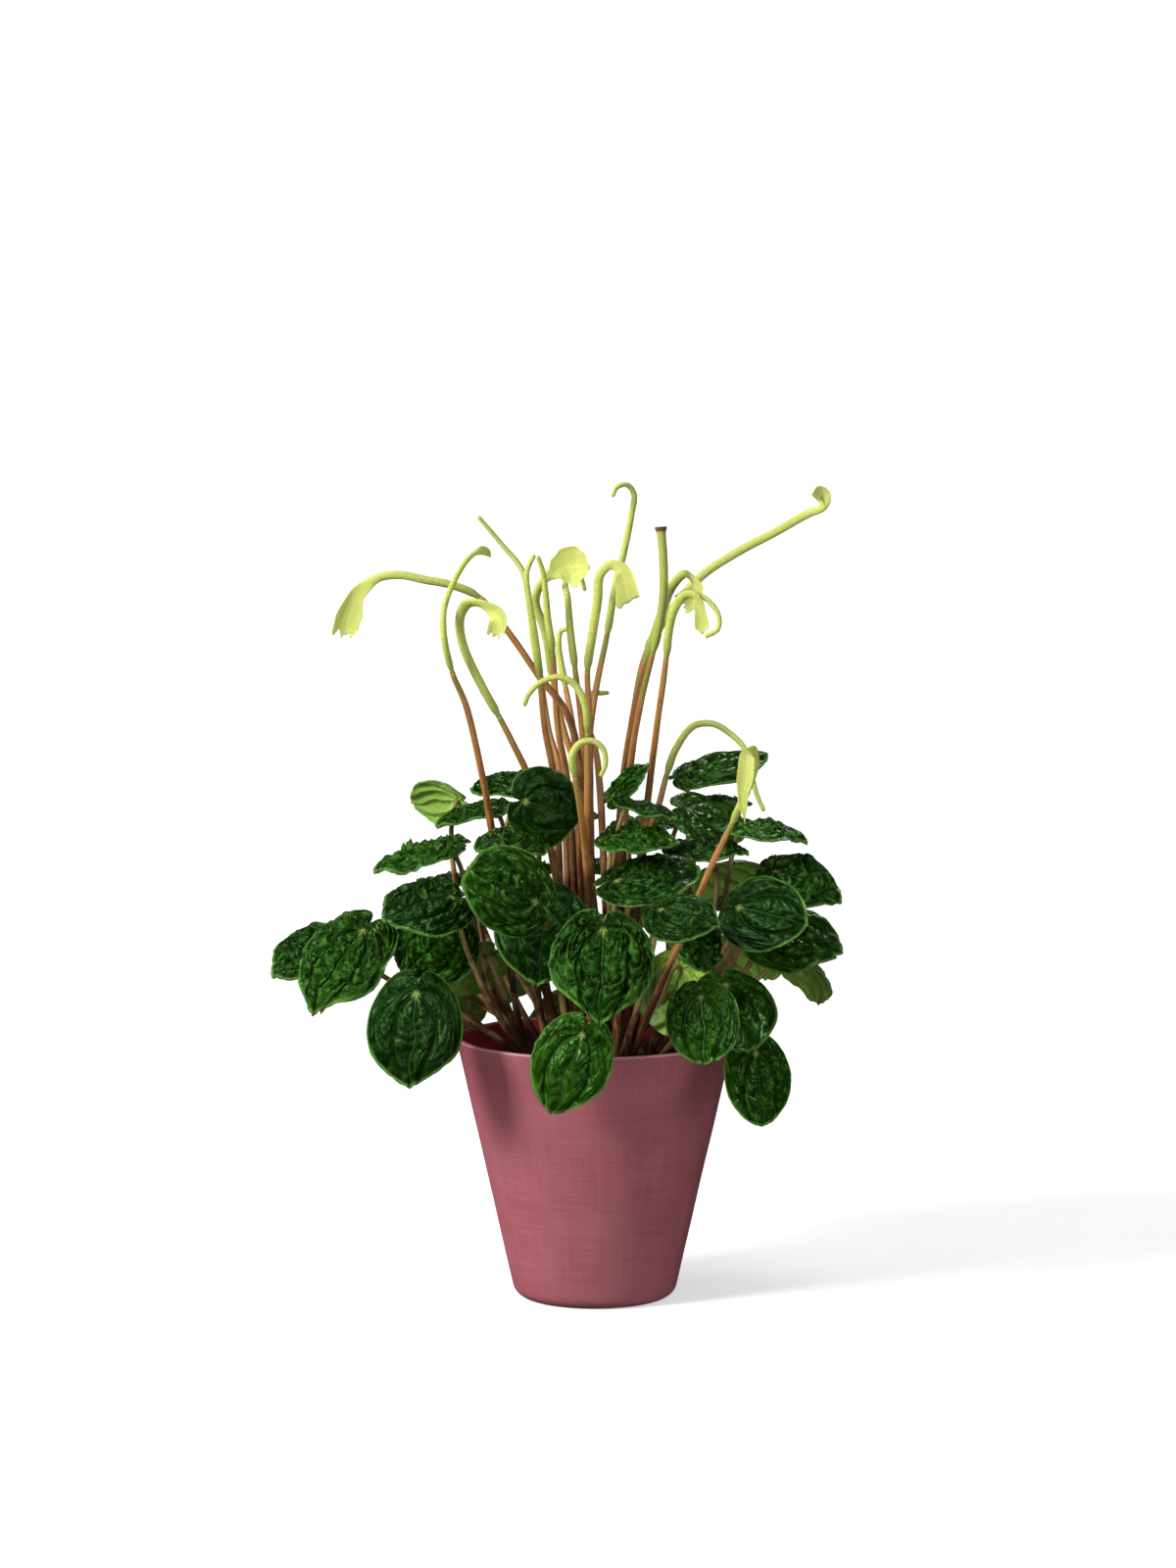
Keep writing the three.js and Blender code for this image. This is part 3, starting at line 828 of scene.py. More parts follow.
@dataclass(frozen=True)
class BladeFinish(Finish):
    """The glossy, wrinkled upper face of a leaf."""

    name: str = "leaf upper face"
    # painted shade for the valleys and vein furrows, and also the dark green of old leaves
    valley_shade_and_old_green: Colour = (0.0010, 0.0080, 0.0003)
    green: Colour = (0.0050, 0.029, 0.0010)
    # painted highlight on the tops of wrinkles and lumps
    crest: Colour = (0.050, 0.155, 0.018)
    fresh: Colour = (0.030, 0.100, 0.005)
    vein: Colour = (0.0018, 0.012, 0.0005)
    midrib: Colour = (0.07, 0.17, 0.035)
    joint: Colour = (0.26, 0.34, 0.08)
    # the margin band: partly the leaf's own paler edge, partly painted highlight where the edge catches
    # light
    margin: Colour = (0.11, 0.26, 0.045)
    tint: Colour = (0.38, 0.90, 0.30)  # of what it reflects
    shine: float = 0.42
    smooth: float = 0.18
    rough: float = 0.30
    dull: float = 0.2  # how much rougher it is in a furrow, or when old
    wrinkle: float = 0.20  # mm
    lump: float = 1.5  # mm
    lump_size: float = 3.2  # mm
    fold: float = 0.05  # mm
    fold_size: float = 4.0  # mm
    cell: float = 0.03  # mm
    cell_size: float = 1.5  # mm
    pore: float = 0.02  # mm
    pore_size: float = 0.7  # mm
    patch_size: float = 9.0  # mm

    def dress(self, paint: Paint) -> None:
        """Paints the wrinkles, the veins, the joint and the margin, with painted shade in the valleys and
        vein furrows and painted highlight on the crests.

        Args:
            paint: The material under way.
        """
        veins = paint.veins()
        lumps = paint.grain(self.lump_size)["Height"]
        pores = paint.grain(self.pore_size)["Height"]
        tone = paint.attribute(Layer.TONE)
        turn = paint.times(paint.attribute(Layer.PHASE), math.tau)
        ridge = paint.fade(paint.math("COSINE", turn), 1.0, -1.0)
        # Painted shade: the valleys between wrinkles and the sunken vein furrows are painted towards the
        # dark valley colour.
        off_vein = paint.fade(veins["Furrow"], 0.0, 1.0, 1.0, 0.25)
        high = paint.times(paint.fade(ridge, 0.0, 0.8, 0.3, 1.0), off_vein)
        base = paint.mix(paint.fade(high, 0.25, 0.9), self.valley_shade_and_old_green, self.green)
        # Painted highlight: the crest colour on the tops of wrinkles and lumps.
        lit = paint.times(high, paint.fade(lumps, 0.45, 0.65))
        base = paint.mix(lit, base, self.crest)
        patches = paint.fade(paint.grain(self.patch_size)["Height"], 0.2, 0.7)
        young = paint.times(tone, patches)
        # Fresh green also goes mostly on the crests, outside the painted shade.
        young = paint.times(young, paint.fade(high, 0.0, 0.8, 0.25, 0.8))
        base = paint.mix(young, base, self.fresh)
        # Low-tone leaves turn to the same dark green: partly an old leaf's own darker green, partly
        # painted shade for leaves that lie in shade.
        base = paint.mix(paint.fade(tone, 0.0, 0.3, 0.7, 0.0), base, self.valley_shade_and_old_green)
        base = paint.over(
            base,
            (veins["Line"], 0.08, self.vein),
            (veins["Midrib"], 0.2, self.midrib),
            (veins["Joint"], 0.8, self.joint),
            # the pale margin band is partly the leaf's own paler edge, partly painted highlight
            (veins["Margin"], 0.7, self.margin),
        )
        rough = paint.vary(pores, self.smooth, self.rough)
        rough = paint.plus(rough, paint.times(veins["Furrow"], self.dull))
        rough = paint.plus(rough, paint.fade(tone, 0.0, 0.15, self.dull, 0.0))
        paint.shade({"Base Color": base, "Roughness": rough})
        paint.shade({"Specular IOR Level": self.shine, "Specular Tint": rgba(self.tint)})
        pucker = paint.times(paint.attribute(Layer.PUCKER), off_vein)
        folds = paint.sized(paint.effects.folds, self.fold_size)["Height"]
        paint.relief(
            (paint.times(ridge, pucker), self.wrinkle),
            (paint.times(lumps, pucker), self.lump),
            (paint.times(folds, off_vein), self.fold),
            (paint.cells(self.cell_size)["Height"], self.cell),
            (pores, self.pore),
        )


@dataclass(frozen=True)
class UndersideFinish(Finish):
    """The matt, paler lower face of a leaf, with raised veins."""

    name: str = "leaf underside"
    shade: Colour = (0.12, 0.23, 0.03)
    green: Colour = (0.18, 0.32, 0.05)
    # paler green of fresh leaves: partly a young leaf's own colour, partly painted light on undersides
    # that the lamps leave in shade
    fresh: Colour = (0.38, 0.62, 0.10)
    vein: Colour = (0.38, 0.52, 0.16)
    joint: Colour = (0.30, 0.18, 0.07)
    seen_through: float = 0.6  # how much of its light comes through the leaf
    spread: float = 1.5  # mm that light travels inside it
    cell: float = 0.03  # mm
    cell_size: float = 1.3  # mm
    patch_size: float = 6.0  # mm
    ridge: float = 0.25  # mm that a vein stands out

    def dress(self, paint: Paint) -> None:
        """Paints the soft green, with a paler fresh green that is partly painted light, the veins and the
        joint.

        Args:
            paint: The material under way.
        """
        veins = paint.veins()
        cells = paint.cells(self.cell_size)["Height"]
        patches = paint.grain(self.patch_size)["Height"]
        tint = paint.times(patches, paint.fade(cells, -1.0, 1.0))
        base = paint.mix(paint.fade(tint, 0.2, 0.6), self.shade, self.green)
        base = paint.over(
            base,
            # The fresh green is partly a young leaf's own paler colour, partly painted light on shaded
            # undersides.
            (paint.attribute(Layer.TONE), 0.8, self.fresh),
            (veins["Line"], 0.6, self.vein),
            (veins["Joint"], 0.3, self.joint),
        )
        rough = paint.vary(patches, 0.5, 0.62)
        paint.shade({"Base Color": base, "Roughness": rough})
        paint.flesh(self.seen_through, self.spread)
        paint.relief((cells, self.cell), (veins["Line"], self.ridge))


@dataclass(frozen=True)
class MarginFinish(Finish):
    """The thin pale edge of a leaf."""

    name: str = "leaf margin"
    green: Colour = (0.075, 0.165, 0.03)
    pale: Colour = (0.15, 0.25, 0.06)
    grain: float = 0.06  # mm
    grain_size: float = 1.6  # mm

    def dress(self, paint: Paint) -> None:
        """Paints the edge's patches.

        Args:
            paint: The material under way.
        """
        grain = paint.grain(self.grain_size)
        base = paint.mix(grain["Mask"], self.green, self.pale)
        rough = paint.vary(grain["Height"], 0.35, 0.5)
        paint.shade({"Base Color": base, "Roughness": rough})
        paint.relief((grain["Height"], self.grain))


@dataclass(frozen=True)
class PetioleFinish(Finish):
    """The fleshy leaf stem: red at its foot and olive towards the blade; the foot is near-black, partly
    its own dark red, partly painted shade in the crown.
    """

    name: str = "petiole"
    # the foot's own dark red, darkened further as painted shade in the crown
    foot: Colour = (0.055, 0.014, 0.007)
    top: Colour = (0.29, 0.190, 0.062)
    fleck: Colour = (0.46, 0.33, 0.14)
    patch_size: float = 7.0  # mm
    wander: float = 0.3  # how far the change of colour strays, as a share
    streak: float = 0.15  # mm

    def dress(self, paint: Paint) -> None:
        """Paints the change of colour and the pale streaks.

        Args:
            paint: The material under way.
        """
        streaks = paint.streaks(around=1.4, along=9.0)
        patches = paint.grain(self.patch_size)["Height"]
        along = paint.plus(paint.along, paint.vary(patches, -self.wander, self.wander))
        # Darker towards the foot: partly its own red, partly painted shade in the crown.
        base = paint.mix(paint.fade(along, 0.15, 1.0), self.foot, self.top)
        pale = paint.times(streaks["Mask"], paint.fade(along, 0.0, 0.8, 0.1, 0.45))
        base = paint.mix(pale, base, self.fleck)
        rough = paint.vary(streaks["Height"], 0.34, 0.5)
        paint.shade({"Base Color": base, "Roughness": rough})
        paint.relief((streaks["Height"], self.streak))


@dataclass(frozen=True)
class StalkFinish(Finish):
    """The red-brown flower stalk, ribbed and flecked, olive where the spike begins; near-black at its
    foot, partly its own dark red, partly painted shade in the crown.
    """

    name: str = "flower stalk"
    # the foot's own dark red, darkened further as painted shade in the crown
    foot: Colour = (0.060, 0.015, 0.008)
    body: Colour = (0.40, 0.155, 0.040)
    pale: Colour = (0.58, 0.34, 0.12)
    olive: Colour = (0.27, 0.25, 0.04)
    patch_size: float = 8.0  # mm
    wander: float = 0.12  # how far a change of colour strays, as a share
    streak: float = 0.35  # mm
    fleck: float = 0.03  # mm
    fleck_size: float = 1.2  # mm

    def dress(self, paint: Paint) -> None:
        """Paints the changes of colour, the streaks and the flecks.

        Args:
            paint: The material under way.
        """
        streaks = paint.streaks(around=2.6, along=7.0)
        flecks = paint.grain(self.fleck_size)
        patches = paint.grain(self.patch_size)["Height"]
        along = paint.plus(paint.along, paint.vary(patches, -self.wander, self.wander))
        # Darker towards the foot: partly its own red, partly painted shade in the crown.
        base = paint.mix(paint.fade(along, 0.35, 0.95), self.foot, self.body)
        pale = paint.plus(streaks["Mask"], paint.times(flecks["Mask"], 0.3))
        pale = paint.times(pale, paint.fade(along, 0.3, 0.9, 0.08, 0.4))
        base = paint.mix(pale, base, self.pale)
        base = paint.mix(paint.fade(along, 0.9, 1.06), base, self.olive)
        rough = paint.vary(streaks["Height"], 0.38, 0.55)
        paint.shade({"Base Color": base, "Roughness": rough})
        paint.relief((streaks["Height"], self.streak), (flecks["Height"], self.fleck))


@dataclass(frozen=True)
class SpikeFinish(Finish):
    """The lime flower spike, close-set with tiny buds; smoother where flattened."""

    name: str = "flower spike"
    # painted shade between the buds and in the crest's grooves
    bud_gap_shade: Colour = (0.43, 0.48, 0.09)
    lime: Colour = (0.67, 0.72, 0.18)
    pale: Colour = (0.78, 0.81, 0.28)
    olive: Colour = (0.30, 0.34, 0.06)
    speck: Colour = (0.12, 0.09, 0.02)
    seen_through: float = 0.4  # how much of its light comes through it
    spread: float = 1.5  # mm that light travels inside it
    bud: float = 0.14  # mm
    bud_size: float = 0.5  # mm
    patch_size: float = 5.0  # mm
    groove: float = 0.2  # mm

    def dress(self, paint: Paint) -> None:
        """Paints the buds and the crest's grooves, with painted shade between the buds and in the
        grooves, and the olive foot with its specks.

        Args:
            paint: The material under way.
        """
        flat = paint.attribute(Layer.FLAT)
        buds = paint.cells(self.bud_size)
        grooves = paint.streaks(around=5.0, along=3.0)
        # Painted shade: the gaps between buds are painted darker.
        shade_between_buds = paint.fade(buds["Height"], 0.2, 0.8, 0.8, 0.0)
        shade_between_buds = paint.times(shade_between_buds, paint.fade(flat, 0.0, 1.0, 1.0, 0.35))
        base = paint.mix(paint.fade(buds["Cell"], 0.0, 1.6), self.lime, self.pale)
        base = paint.mix(shade_between_buds, base, self.bud_gap_shade)
        # Painted shade in the crest's grooves.
        groove_shade = paint.times(grooves["Mask"], flat)
        base = paint.over(base, (groove_shade, 0.25, self.bud_gap_shade))
        foot = paint.fade(paint.along, 0.0, 0.25, 0.75, 0.0)
        dull = paint.math("SUBTRACT", 1.0, paint.attribute(Layer.TONE))
        green = paint.math("MAXIMUM", foot, paint.times(dull, 0.8))
        base = paint.mix(green, base, self.olive)
        specks = paint.fade(paint.along, 0.0, 0.05, 0.7, 0.0)
        specks = paint.fade(paint.times(specks, buds["Cell"]), 0.3, 0.7)
        base = paint.mix(specks, base, self.speck)
        rough = paint.vary(paint.grain(self.patch_size)["Height"], 0.5, 0.65)
        paint.shade({"Base Color": base, "Roughness": rough})
        paint.flesh(self.seen_through, self.spread)
        bumpy = paint.fade(flat, 0.0, 1.0, 1.0, 0.3)
        paint.relief(
            (paint.times(buds["Height"], bumpy), self.bud),
            (paint.times(grooves["Height"], flat), self.groove),
        )


@dataclass(frozen=True)
class CutFinish(Finish):
    """The dried brown end of a spike that was cut."""

    name: str = "cut spike end"
    # the dried tissue's brown, taken darker in the low gaps between cells as painted shade
    brown: Colour = (0.11, 0.05, 0.02)
    pale: Colour = (0.27, 0.15, 0.06)
    cell: float = 0.3  # mm
    cell_size: float = 0.8  # mm

    def dress(self, paint: Paint) -> None:
        """Paints the dried cells, with painted shade in the low gaps between them.

        Args:
            paint: The material under way.
        """
        cells = paint.cells(self.cell_size)
        # Painted shade: darker brown in the low gaps between cells, paler on their tops.
        base = paint.mix(cells["Height"], self.brown, self.pale)
        rough = paint.fade(cells["Cell"], 0.0, 1.0, 0.7, 0.9)
        paint.shade({"Base Color": base, "Roughness": rough})
        paint.relief((cells["Height"], self.cell))


@dataclass(frozen=True)
class PotFinish(Finish):
    """Matt moulded plastic with a faint linen-like texture."""

    body: Colour
    worn: Colour
    dusty: float = 0.35
    cloudy: float = 0.7  # how much of the dust lies in broad clouds
    cloud_size: float = 22.0  # mm
    upright: tuple[float, float] = (70.0, 25.0)  # changes a radian, and a metre up
    level: tuple[float, float] = (1.5, 1100.0)  # changes a radian, and a metre up
    thread: float = 0.10  # mm
    grain: float = 0.05  # mm
    grain_size: float = 0.9  # mm

    def dress(self, paint: Paint) -> None:
        """Paints the linen and the dust in it.

        Args:
            paint: The material under way.
        """
        x, y, z = paint.split(paint.place)
        turn = paint.math("ARCTAN2", y, x)

        def threads(pace: tuple[float, float], detail: float) -> Output:
            """Noise drawn out into threads, by how fast it changes each way."""
            around, up = paint.times(turn, pace[0]), paint.times(z, pace[1])
            return paint.noise(paint.join(around, up), 1.0, detail)

        linen = paint.plus(threads(self.upright, 3.0), threads(self.level, 2.0))
        linen = paint.times(linen, 0.5)
        clouds = paint.grain(self.cloud_size)["Mask"]
        base = paint.over(
            self.body,
            (paint.fade(linen, 0.42, 0.6), self.dusty, self.worn),
            (clouds, self.dusty * self.cloudy, self.worn),
        )
        grain = paint.grain(self.grain_size)["Height"]
        rough = paint.vary(grain, 0.52, 0.68)
        paint.shade({"Base Color": base, "Roughness": rough})
        paint.relief((linen, self.thread), (grain, self.grain))


@dataclass(frozen=True)
class SoilFinish(Finish):
    """Dark, damp, crumbly potting soil, with painted shade in the gaps between crumbs."""

    name: str = "potting soil"
    # painted shade in the gaps between crumbs
    crumb_gap_shade: Colour = (0.008, 0.005, 0.003)
    crumb_brown: Colour = (0.040, 0.024, 0.014)
    fibre: Colour = (0.12, 0.075, 0.04)
    crumb: float = 0.9  # mm
    crumb_size: float = 1.8  # mm
    grit: float = 0.3  # mm
    grit_size: float = 0.8  # mm

    def dress(self, paint: Paint) -> None:
        """Paints the crumbs, with painted shade in the gaps between them, and the few that are fibre.

        Args:
            paint: The material under way.
        """
        crumbs, grit = paint.cells(self.crumb_size), paint.grain(self.grit_size)
        # Painted shade: darker in the gaps between crumbs, the soil's brown on their tops.
        base = paint.mix(paint.fade(crumbs["Height"], 0.1, 0.9), self.crumb_gap_shade, self.crumb_brown)
        fibres = paint.times(paint.fade(crumbs["Cell"], 0.82, 0.9), grit["Mask"])
        base = paint.mix(fibres, base, self.fibre)
        rough = paint.vary(grit["Height"], 0.8, 0.95)
        paint.shade({"Base Color": base, "Roughness": rough})
        paint.relief((crumbs["Height"], self.crumb), (grit["Height"], self.grit))


@dataclass(frozen=True)
class SweepFinish(Finish):
    """The plain pale studio floor."""

    name: str = "studio floor"
    pale: Colour = (0.86, 0.86, 0.86)
    soft: Colour = (0.90, 0.90, 0.90)
    light: Colour = (1, 1, 1)
    glow: float = 0.55
    rough: float = 0.9
    patch_size: float = 400.0  # mm

    def dress(self, paint: Paint) -> None:
        """Paints the pale floor, with a glow of its own.

        Args:
            paint: The material under way.
        """
        patches = paint.grain(self.patch_size)["Height"]
        base = paint.mix(patches, self.pale, self.soft)
        paint.shade({"Base Color": base, "Roughness": self.rough})
        paint.shade({"Emission Color": rgba(self.light), "Emission Strength": self.glow})


# ---- Pot and soil ----


@dataclass(frozen=True)
class Pot:
    """The tapered pot, one moulded shell, and the soil that fills it."""

    height: float = 106
    rim_radius: float = 56
    base_radius: float = 32.2
    wall: float = 2.2
    floor: float = 3
    corner: float = 4.5  # radius of the outer corner at the base
    fillet: float = 2  # width of the bevel inside, at the floor
    lip: float = 0.8
    lip_round: float = 0.18
    steps: int = 128
    courses: int = 22
    ripple: float = 0.22  # how far the wall is off true
    ripple_size: Triple = (9, 9, 30)
    soil_level: float = 92  # at the middle
    soil_edge: float = 90  # by the wall
    slope: tuple[float, float] = (30, 50)  # radii between which the soil falls
    crumb: float = 0.9
    crumb_size: float = 3.5
    slack: float = 0.6  # between the soil and the wall
    soil_lift: float = 0.4  # between the soil and the floor
    bed_grid: tuple[int, int] = (120, 56)
    bed_rows: tuple[float, float] = (0.02, 0.04)  # where its foot and surface start

    def outer(self, height: float) -> float:
        """The outside radius at a height."""
        return blend(self.base_radius, self.rim_radius, height / self.height)

    def inner(self, height: float) -> float:
        """The inside radius at a height."""
        return self.outer(height) - self.wall

    def profile(self) -> list[tuple[float, float]]:
        """Draws the shell's outline, from the base's centre round to the floor's.

        Returns:
            Its points, as radius and height.
        """
        outline = [(0.0, 0.0), (self.base_radius * 0.55, 0.0)]
        for turn in range(0, 91, 15):
            out = self.corner * math.sin(math.radians(turn))
            up = self.corner * (1 - math.cos(math.radians(turn)))
            outline.append((self.outer(up) - self.corner + out, up))
        top = self.height - self.lip
        bottom = self.floor + self.fillet
        return outline + [
            (self.rim_radius, top),
            (self.rim_radius - self.lip / 2, self.height),
            (self.rim_radius - self.wall + self.lip / 2, self.height),
            (self.inner(top), top),
            (self.inner(bottom), bottom),
            (self.inner(self.floor) - self.fillet, self.floor),
            (0.0, self.floor),
        ]

    def shell(self) -> Mesh:
        """Spins the profile and gives the wall its faint unevenness.

        Returns:
            The shell's mesh.
        """
        bm = new_mesh()
        verts = [bm.verts.new((radius, 0, up)) for radius, up in self.profile()]
        edges = [bm.edges.new(pair) for pair in zip(verts, verts[1:])]
        bmesh.ops.spin(
            bm, geom=verts + edges, cent=(0, 0, 0), axis=UP, angle=math.tau,
            steps=self.steps, use_merge=True,
        )
        close_up(bm)

        def rise(edge: bmesh.types.BMEdge) -> float:
            """How much higher one end of an edge is than the other."""
            return abs(edge.verts[0].co.z - edge.verts[1].co.z)

        tall = [edge for edge in bm.edges if rise(edge) > self.height / 2]
        bmesh.ops.subdivide_edges(bm, edges=tall, cuts=self.courses, use_grid_fill=True)
        lip = self.height - self.lip - self.lip_round / 2
        level = [edge for edge in bm.edges if rise(edge) < CLOSE]
        lips = [edge for edge in level if min(vert.co.z for vert in edge.verts) > lip]
        bmesh.ops.bevel(
            bm, geom=lips, offset=self.lip_round, offset_type="OFFSET", segments=2,
            profile=0.5, affect="EDGES", material=-1,
        )
        for vert in bm.verts:
            x, y, z = vert.co
            if math.hypot(x, y) > 1:
                spot = [value / size for value, size in zip(vert.co, self.ripple_size)]
                wave = self.ripple * noise.noise(Vector(spot))
                wave *= ease(z, self.corner, 3 * self.corner)
                vert.co += Vector((x, y, 0)).normalized() * wave
        return bm

    def build(self, materials: tuple[Material, ...]) -> Piece:
        """Builds the pot.

        Args:
            materials: For the wall, the inner wall, whose brighter crimson is painted light, and the rim,
                whose lighter pink is painted highlight.

        Returns:
            The pot.
        """
        bm = self.shell()
        for face in bm.faces:
            x, y, z = face.calc_center_median()
            if z > self.height - self.lip:
                face.material_index = PotPart.RIM
            elif math.hypot(x, y) < self.outer(z) - self.wall / 2 and z > 1:
                face.material_index = PotPart.LIT_INNER_WALL
        return finished("plant_pot", bm, materials)

    def bed_height(self, x: float, y: float) -> float:
        """Finds the height of the soil's surface.

        Args:
            x: Place across.
            y: Place from front to back.

        Returns:
            The height there.
        """
        reach = math.hypot(x, y)
        level = blend(self.soil_level, self.soil_edge, ease(reach, *self.slope))
        lumps = noise.fractal(Vector((x, y, 0)) / self.crumb_size, 1.0, 2.0, 4)
        return level + self.crumb * lumps * ease(self.slope[1] - reach, 0, 4)

    def soil(self, material: Material) -> Piece:
        """Builds the bed of soil.

        Args:
            material: The soil's material.

        Returns:
            The soil.
        """
        low = self.floor + self.soil_lift
        foot = self.inner(low) - self.slack
        edge = self.inner(self.soil_edge) - self.slack
        side, surface = self.bed_rows

        def place(around: float, ahead: float) -> Vector:
            """Finds the point on the bed: its underside, its side, then its surface.

            Args:
                around: Share of the way round.
                ahead: Share of the way from the underside to the surface's middle.

            Returns:
                The point.
            """
            if ahead < side:
                return Vector((0, 0, low))
            if ahead < surface:
                return Vector((*ring_point(foot, 360 * around), low))
            radius = edge * (1 - (ahead - surface) / (1 - surface))
            x, y = ring_point(radius, 360 * around)
            return Vector((x, y, self.bed_height(x, y)))

        bm = new_mesh()
        wrapped_grid(bm, *self.bed_grid, place)
        return finished("potting_soil", bm, (material,))


# ---- Leaves ----


class Surface(Enum):
    """How a leaf looks: (freshness, depth of its wrinkles, length of its point)."""

    PLAIN = (0.40, 0.80, 0.07)
    CRINKLED = (0.45, 1.35, 0.09)
    FRESH = (1.00, 0.30, 0.03)
    BRIGHT = (0.80, 0.75, 0.02)
    MIDDLING = (0.60, 0.60, 0.07)
    SHADED = (0.50, 0.24, 0.02)
    # dark and smooth: partly an old leaf's own dark green, partly painted shade for leaves that lie in
    # shade
    OLD = (0.04, 0.30, 0.05)


@dataclass(frozen=True)
class Leaf:
    """A leaf by its petiole's joint, its tip and the way its upper face looks."""

    joint: Triple
    tip: Triple
    face: Triple | None = None
    width: float = 0.8
    surface: Surface = Surface.PLAIN
    lean: Triple | None = None  # what its petiole leans towards before it bends


@dataclass(frozen=True)
class Shoot:
    """A leafy stem by its direction round the crown, with its leaves."""

    azimuth: float
    leaves: tuple[Leaf, ...]


SHOOTS: tuple[Shoot, ...] = (
    Shoot(4, (
        Leaf((80, 4, 140), (92, 14, 116), (0.8, 0.6, 0.2)),
        Leaf((58, -18, 194), (84, -28, 188), (0.1, -0.1, 1)),
        Leaf((62, 6, 156), (92, 6, 146), width=0.65),
    )),
    Shoot(23, (
        Leaf((60, 27, 141), (72, 44, 121), (0.5, 1, 0.2), surface=Surface.FRESH),
        Leaf((49, 16, 172), (64, 38, 160), (0.2, 1, 0.4), surface=Surface.FRESH),
        Leaf((38, 25, 211), (73, 31, 216), (0, -0.2, 1), width=0.7),
    )),
    Shoot(42, (
        Leaf((43, 38, 198), (63, 56, 192), (0, 0.3, 1)),
        Leaf((50, 50, 124), (66, 68, 98)),
        Leaf((42, 48, 158), (60, 70, 146)),
    )),
    Shoot(61, (
        Leaf((34, 62, 112), (46, 80, 84)),
        Leaf((26, 56, 150), (40, 84, 136)),
        Leaf((19, 42, 188), (33, 70, 184)),
    )),
    Shoot(80, (
        Leaf((14, 70, 126), (20, 94, 102)),
        Leaf((6, 58, 170), (8, 90, 160)),
    )),
    Shoot(99, (
        Leaf((-10, 66, 110), (-12, 82, 80)),
        Leaf((-12, 60, 148), (-18, 90, 134)),
        Leaf((-12, 46, 190), (-18, 76, 188)),
    )),
    Shoot(118, (
        Leaf((-36, 60, 128), (-48, 82, 102)),
        Leaf((-28, 48, 168), (-44, 76, 160)),
    )),
    Shoot(137, (
        Leaf((-54, 46, 116), (-70, 60, 86)),
        Leaf((-48, 42, 150), (-72, 62, 138)),
        Leaf((-26, 28, 206), (-50, 46, 204), (0, -0.2, 1)),
    )),
    Shoot(156, (
        Leaf((-62, 33, 134), (-80, 48, 108)),
        Leaf((-54, 24, 168), (-82, 38, 158)),
        Leaf((-56, 26, 199), (-77, 38, 197), (-0.1, 1, 0.4), 0.68, Surface.SHADED),
    )),
    Shoot(175, (
        Leaf((-104, 8, 145), (-131, -4, 129), (0, -0.4, 1)),
        Leaf((-44, 0, 139), (-66, 6, 121), (-0.6, 0.8, 0.2)),
        Leaf((-40, 5, 198), (-66, 12, 190), (0, -0.15, 1)),
    )),
    Shoot(194, (
        Leaf((-92, -24, 152), (-112, -37, 120), (-0.4, -0.8, 0.7), 0.74, Surface.CRINKLED),
        Leaf((-58, -20, 186), (-89, -12, 174), (0, -0.2, 1), 0.7, Surface.CRINKLED),
    )),
    Shoot(213, (
        Leaf((-70, -52, 131), (-73, -62, 92), (-0.1, -1, 0.1), 0.68, Surface.OLD),
        Leaf((-56, -40, 167), (-84, -54, 160), (-0.2, -0.7, 0.9)),
        Leaf((-56, -21, 152), (-78, -35, 134), (-0.3, -1, 0.2)),
    )),
    Shoot(232, (
        Leaf((-32, -28, 192), (-35, -54, 183), (0, -0.5, 1)),
        Leaf((-28, -29, 204), (-5, -19, 197), (0.3, -1, 0.25), 0.95, Surface.OLD),
    )),
    Shoot(251, (
        Leaf((-23, -64, 168), (-52, -72, 184), (0, -1, 0.45), 0.76, Surface.SHADED, (0, -28, 150)),
        Leaf((-20, -36, 165), (-23, -46, 131), (0, -1, 0.2), surface=Surface.OLD),
    )),
    Shoot(270, (
        Leaf((-5, -67, 117), (-18, -72, 85), (0, -1, 0.1), 0.66, Surface.FRESH),
        Leaf((3, -82, 160), (2, -94, 125), (0, -1, 0.5), surface=Surface.CRINKLED),
    )),
    Shoot(287, (
        Leaf((8, -46, 174), (43, -42, 179), (-0.1, -0.5, 1), width=0.68),
        Leaf((7, -36, 191), (34, -44, 188), (0, -0.25, 1), 0.72, Surface.CRINKLED),
        Leaf((13, -32, 204), (33, -40, 197), (0, 0, 1), width=0.6),
        Leaf((7, -19, 205), (22, -20, 218), (-0.5, -0.5, 0.8), 0.62, Surface.CRINKLED),
        Leaf((25, -70, 166), (48, -79, 161), (0.1, -0.7, 0.8)),
    )),
    Shoot(321, (
        Leaf((41, -68, 132), (43, -80, 104), (-0.1, -1, 0.4), 0.7, Surface.BRIGHT),
        Leaf((51, -50, 134), (60, -66, 108), (0.2, -1, 0.3), surface=Surface.SHADED),
        Leaf((63, -48, 107), (66, -54, 77), (0.1, -1, 0.2), 0.64, Surface.SHADED),
        Leaf((56, -47, 164), (84, -55, 158), (0.3, -1, 0.4), surface=Surface.OLD),
        Leaf((38, -30, 157), (44, -42, 136), (0.6, -0.8, 0.3)),
        Leaf((34, -24, 137), (31, -36, 108), (0.5, 0.9, 0.1), surface=Surface.BRIGHT),
    )),
    Shoot(341, (
        Leaf((71, -20, 175), (98, -26, 164), (0.1, -0.6, 1), surface=Surface.CRINKLED),
        Leaf((67, -26, 151), (98, -34, 145), (0.2, -0.8, 0.8), surface=Surface.MIDDLING),
        Leaf((37, -2, 198), (63, 6, 188), (0, -0.6, 1), 0.9, Surface.FRESH),
        Leaf((34, -23, 186), (63, -30, 182), (0, -0.1, 1), width=0.66),
    )),
)


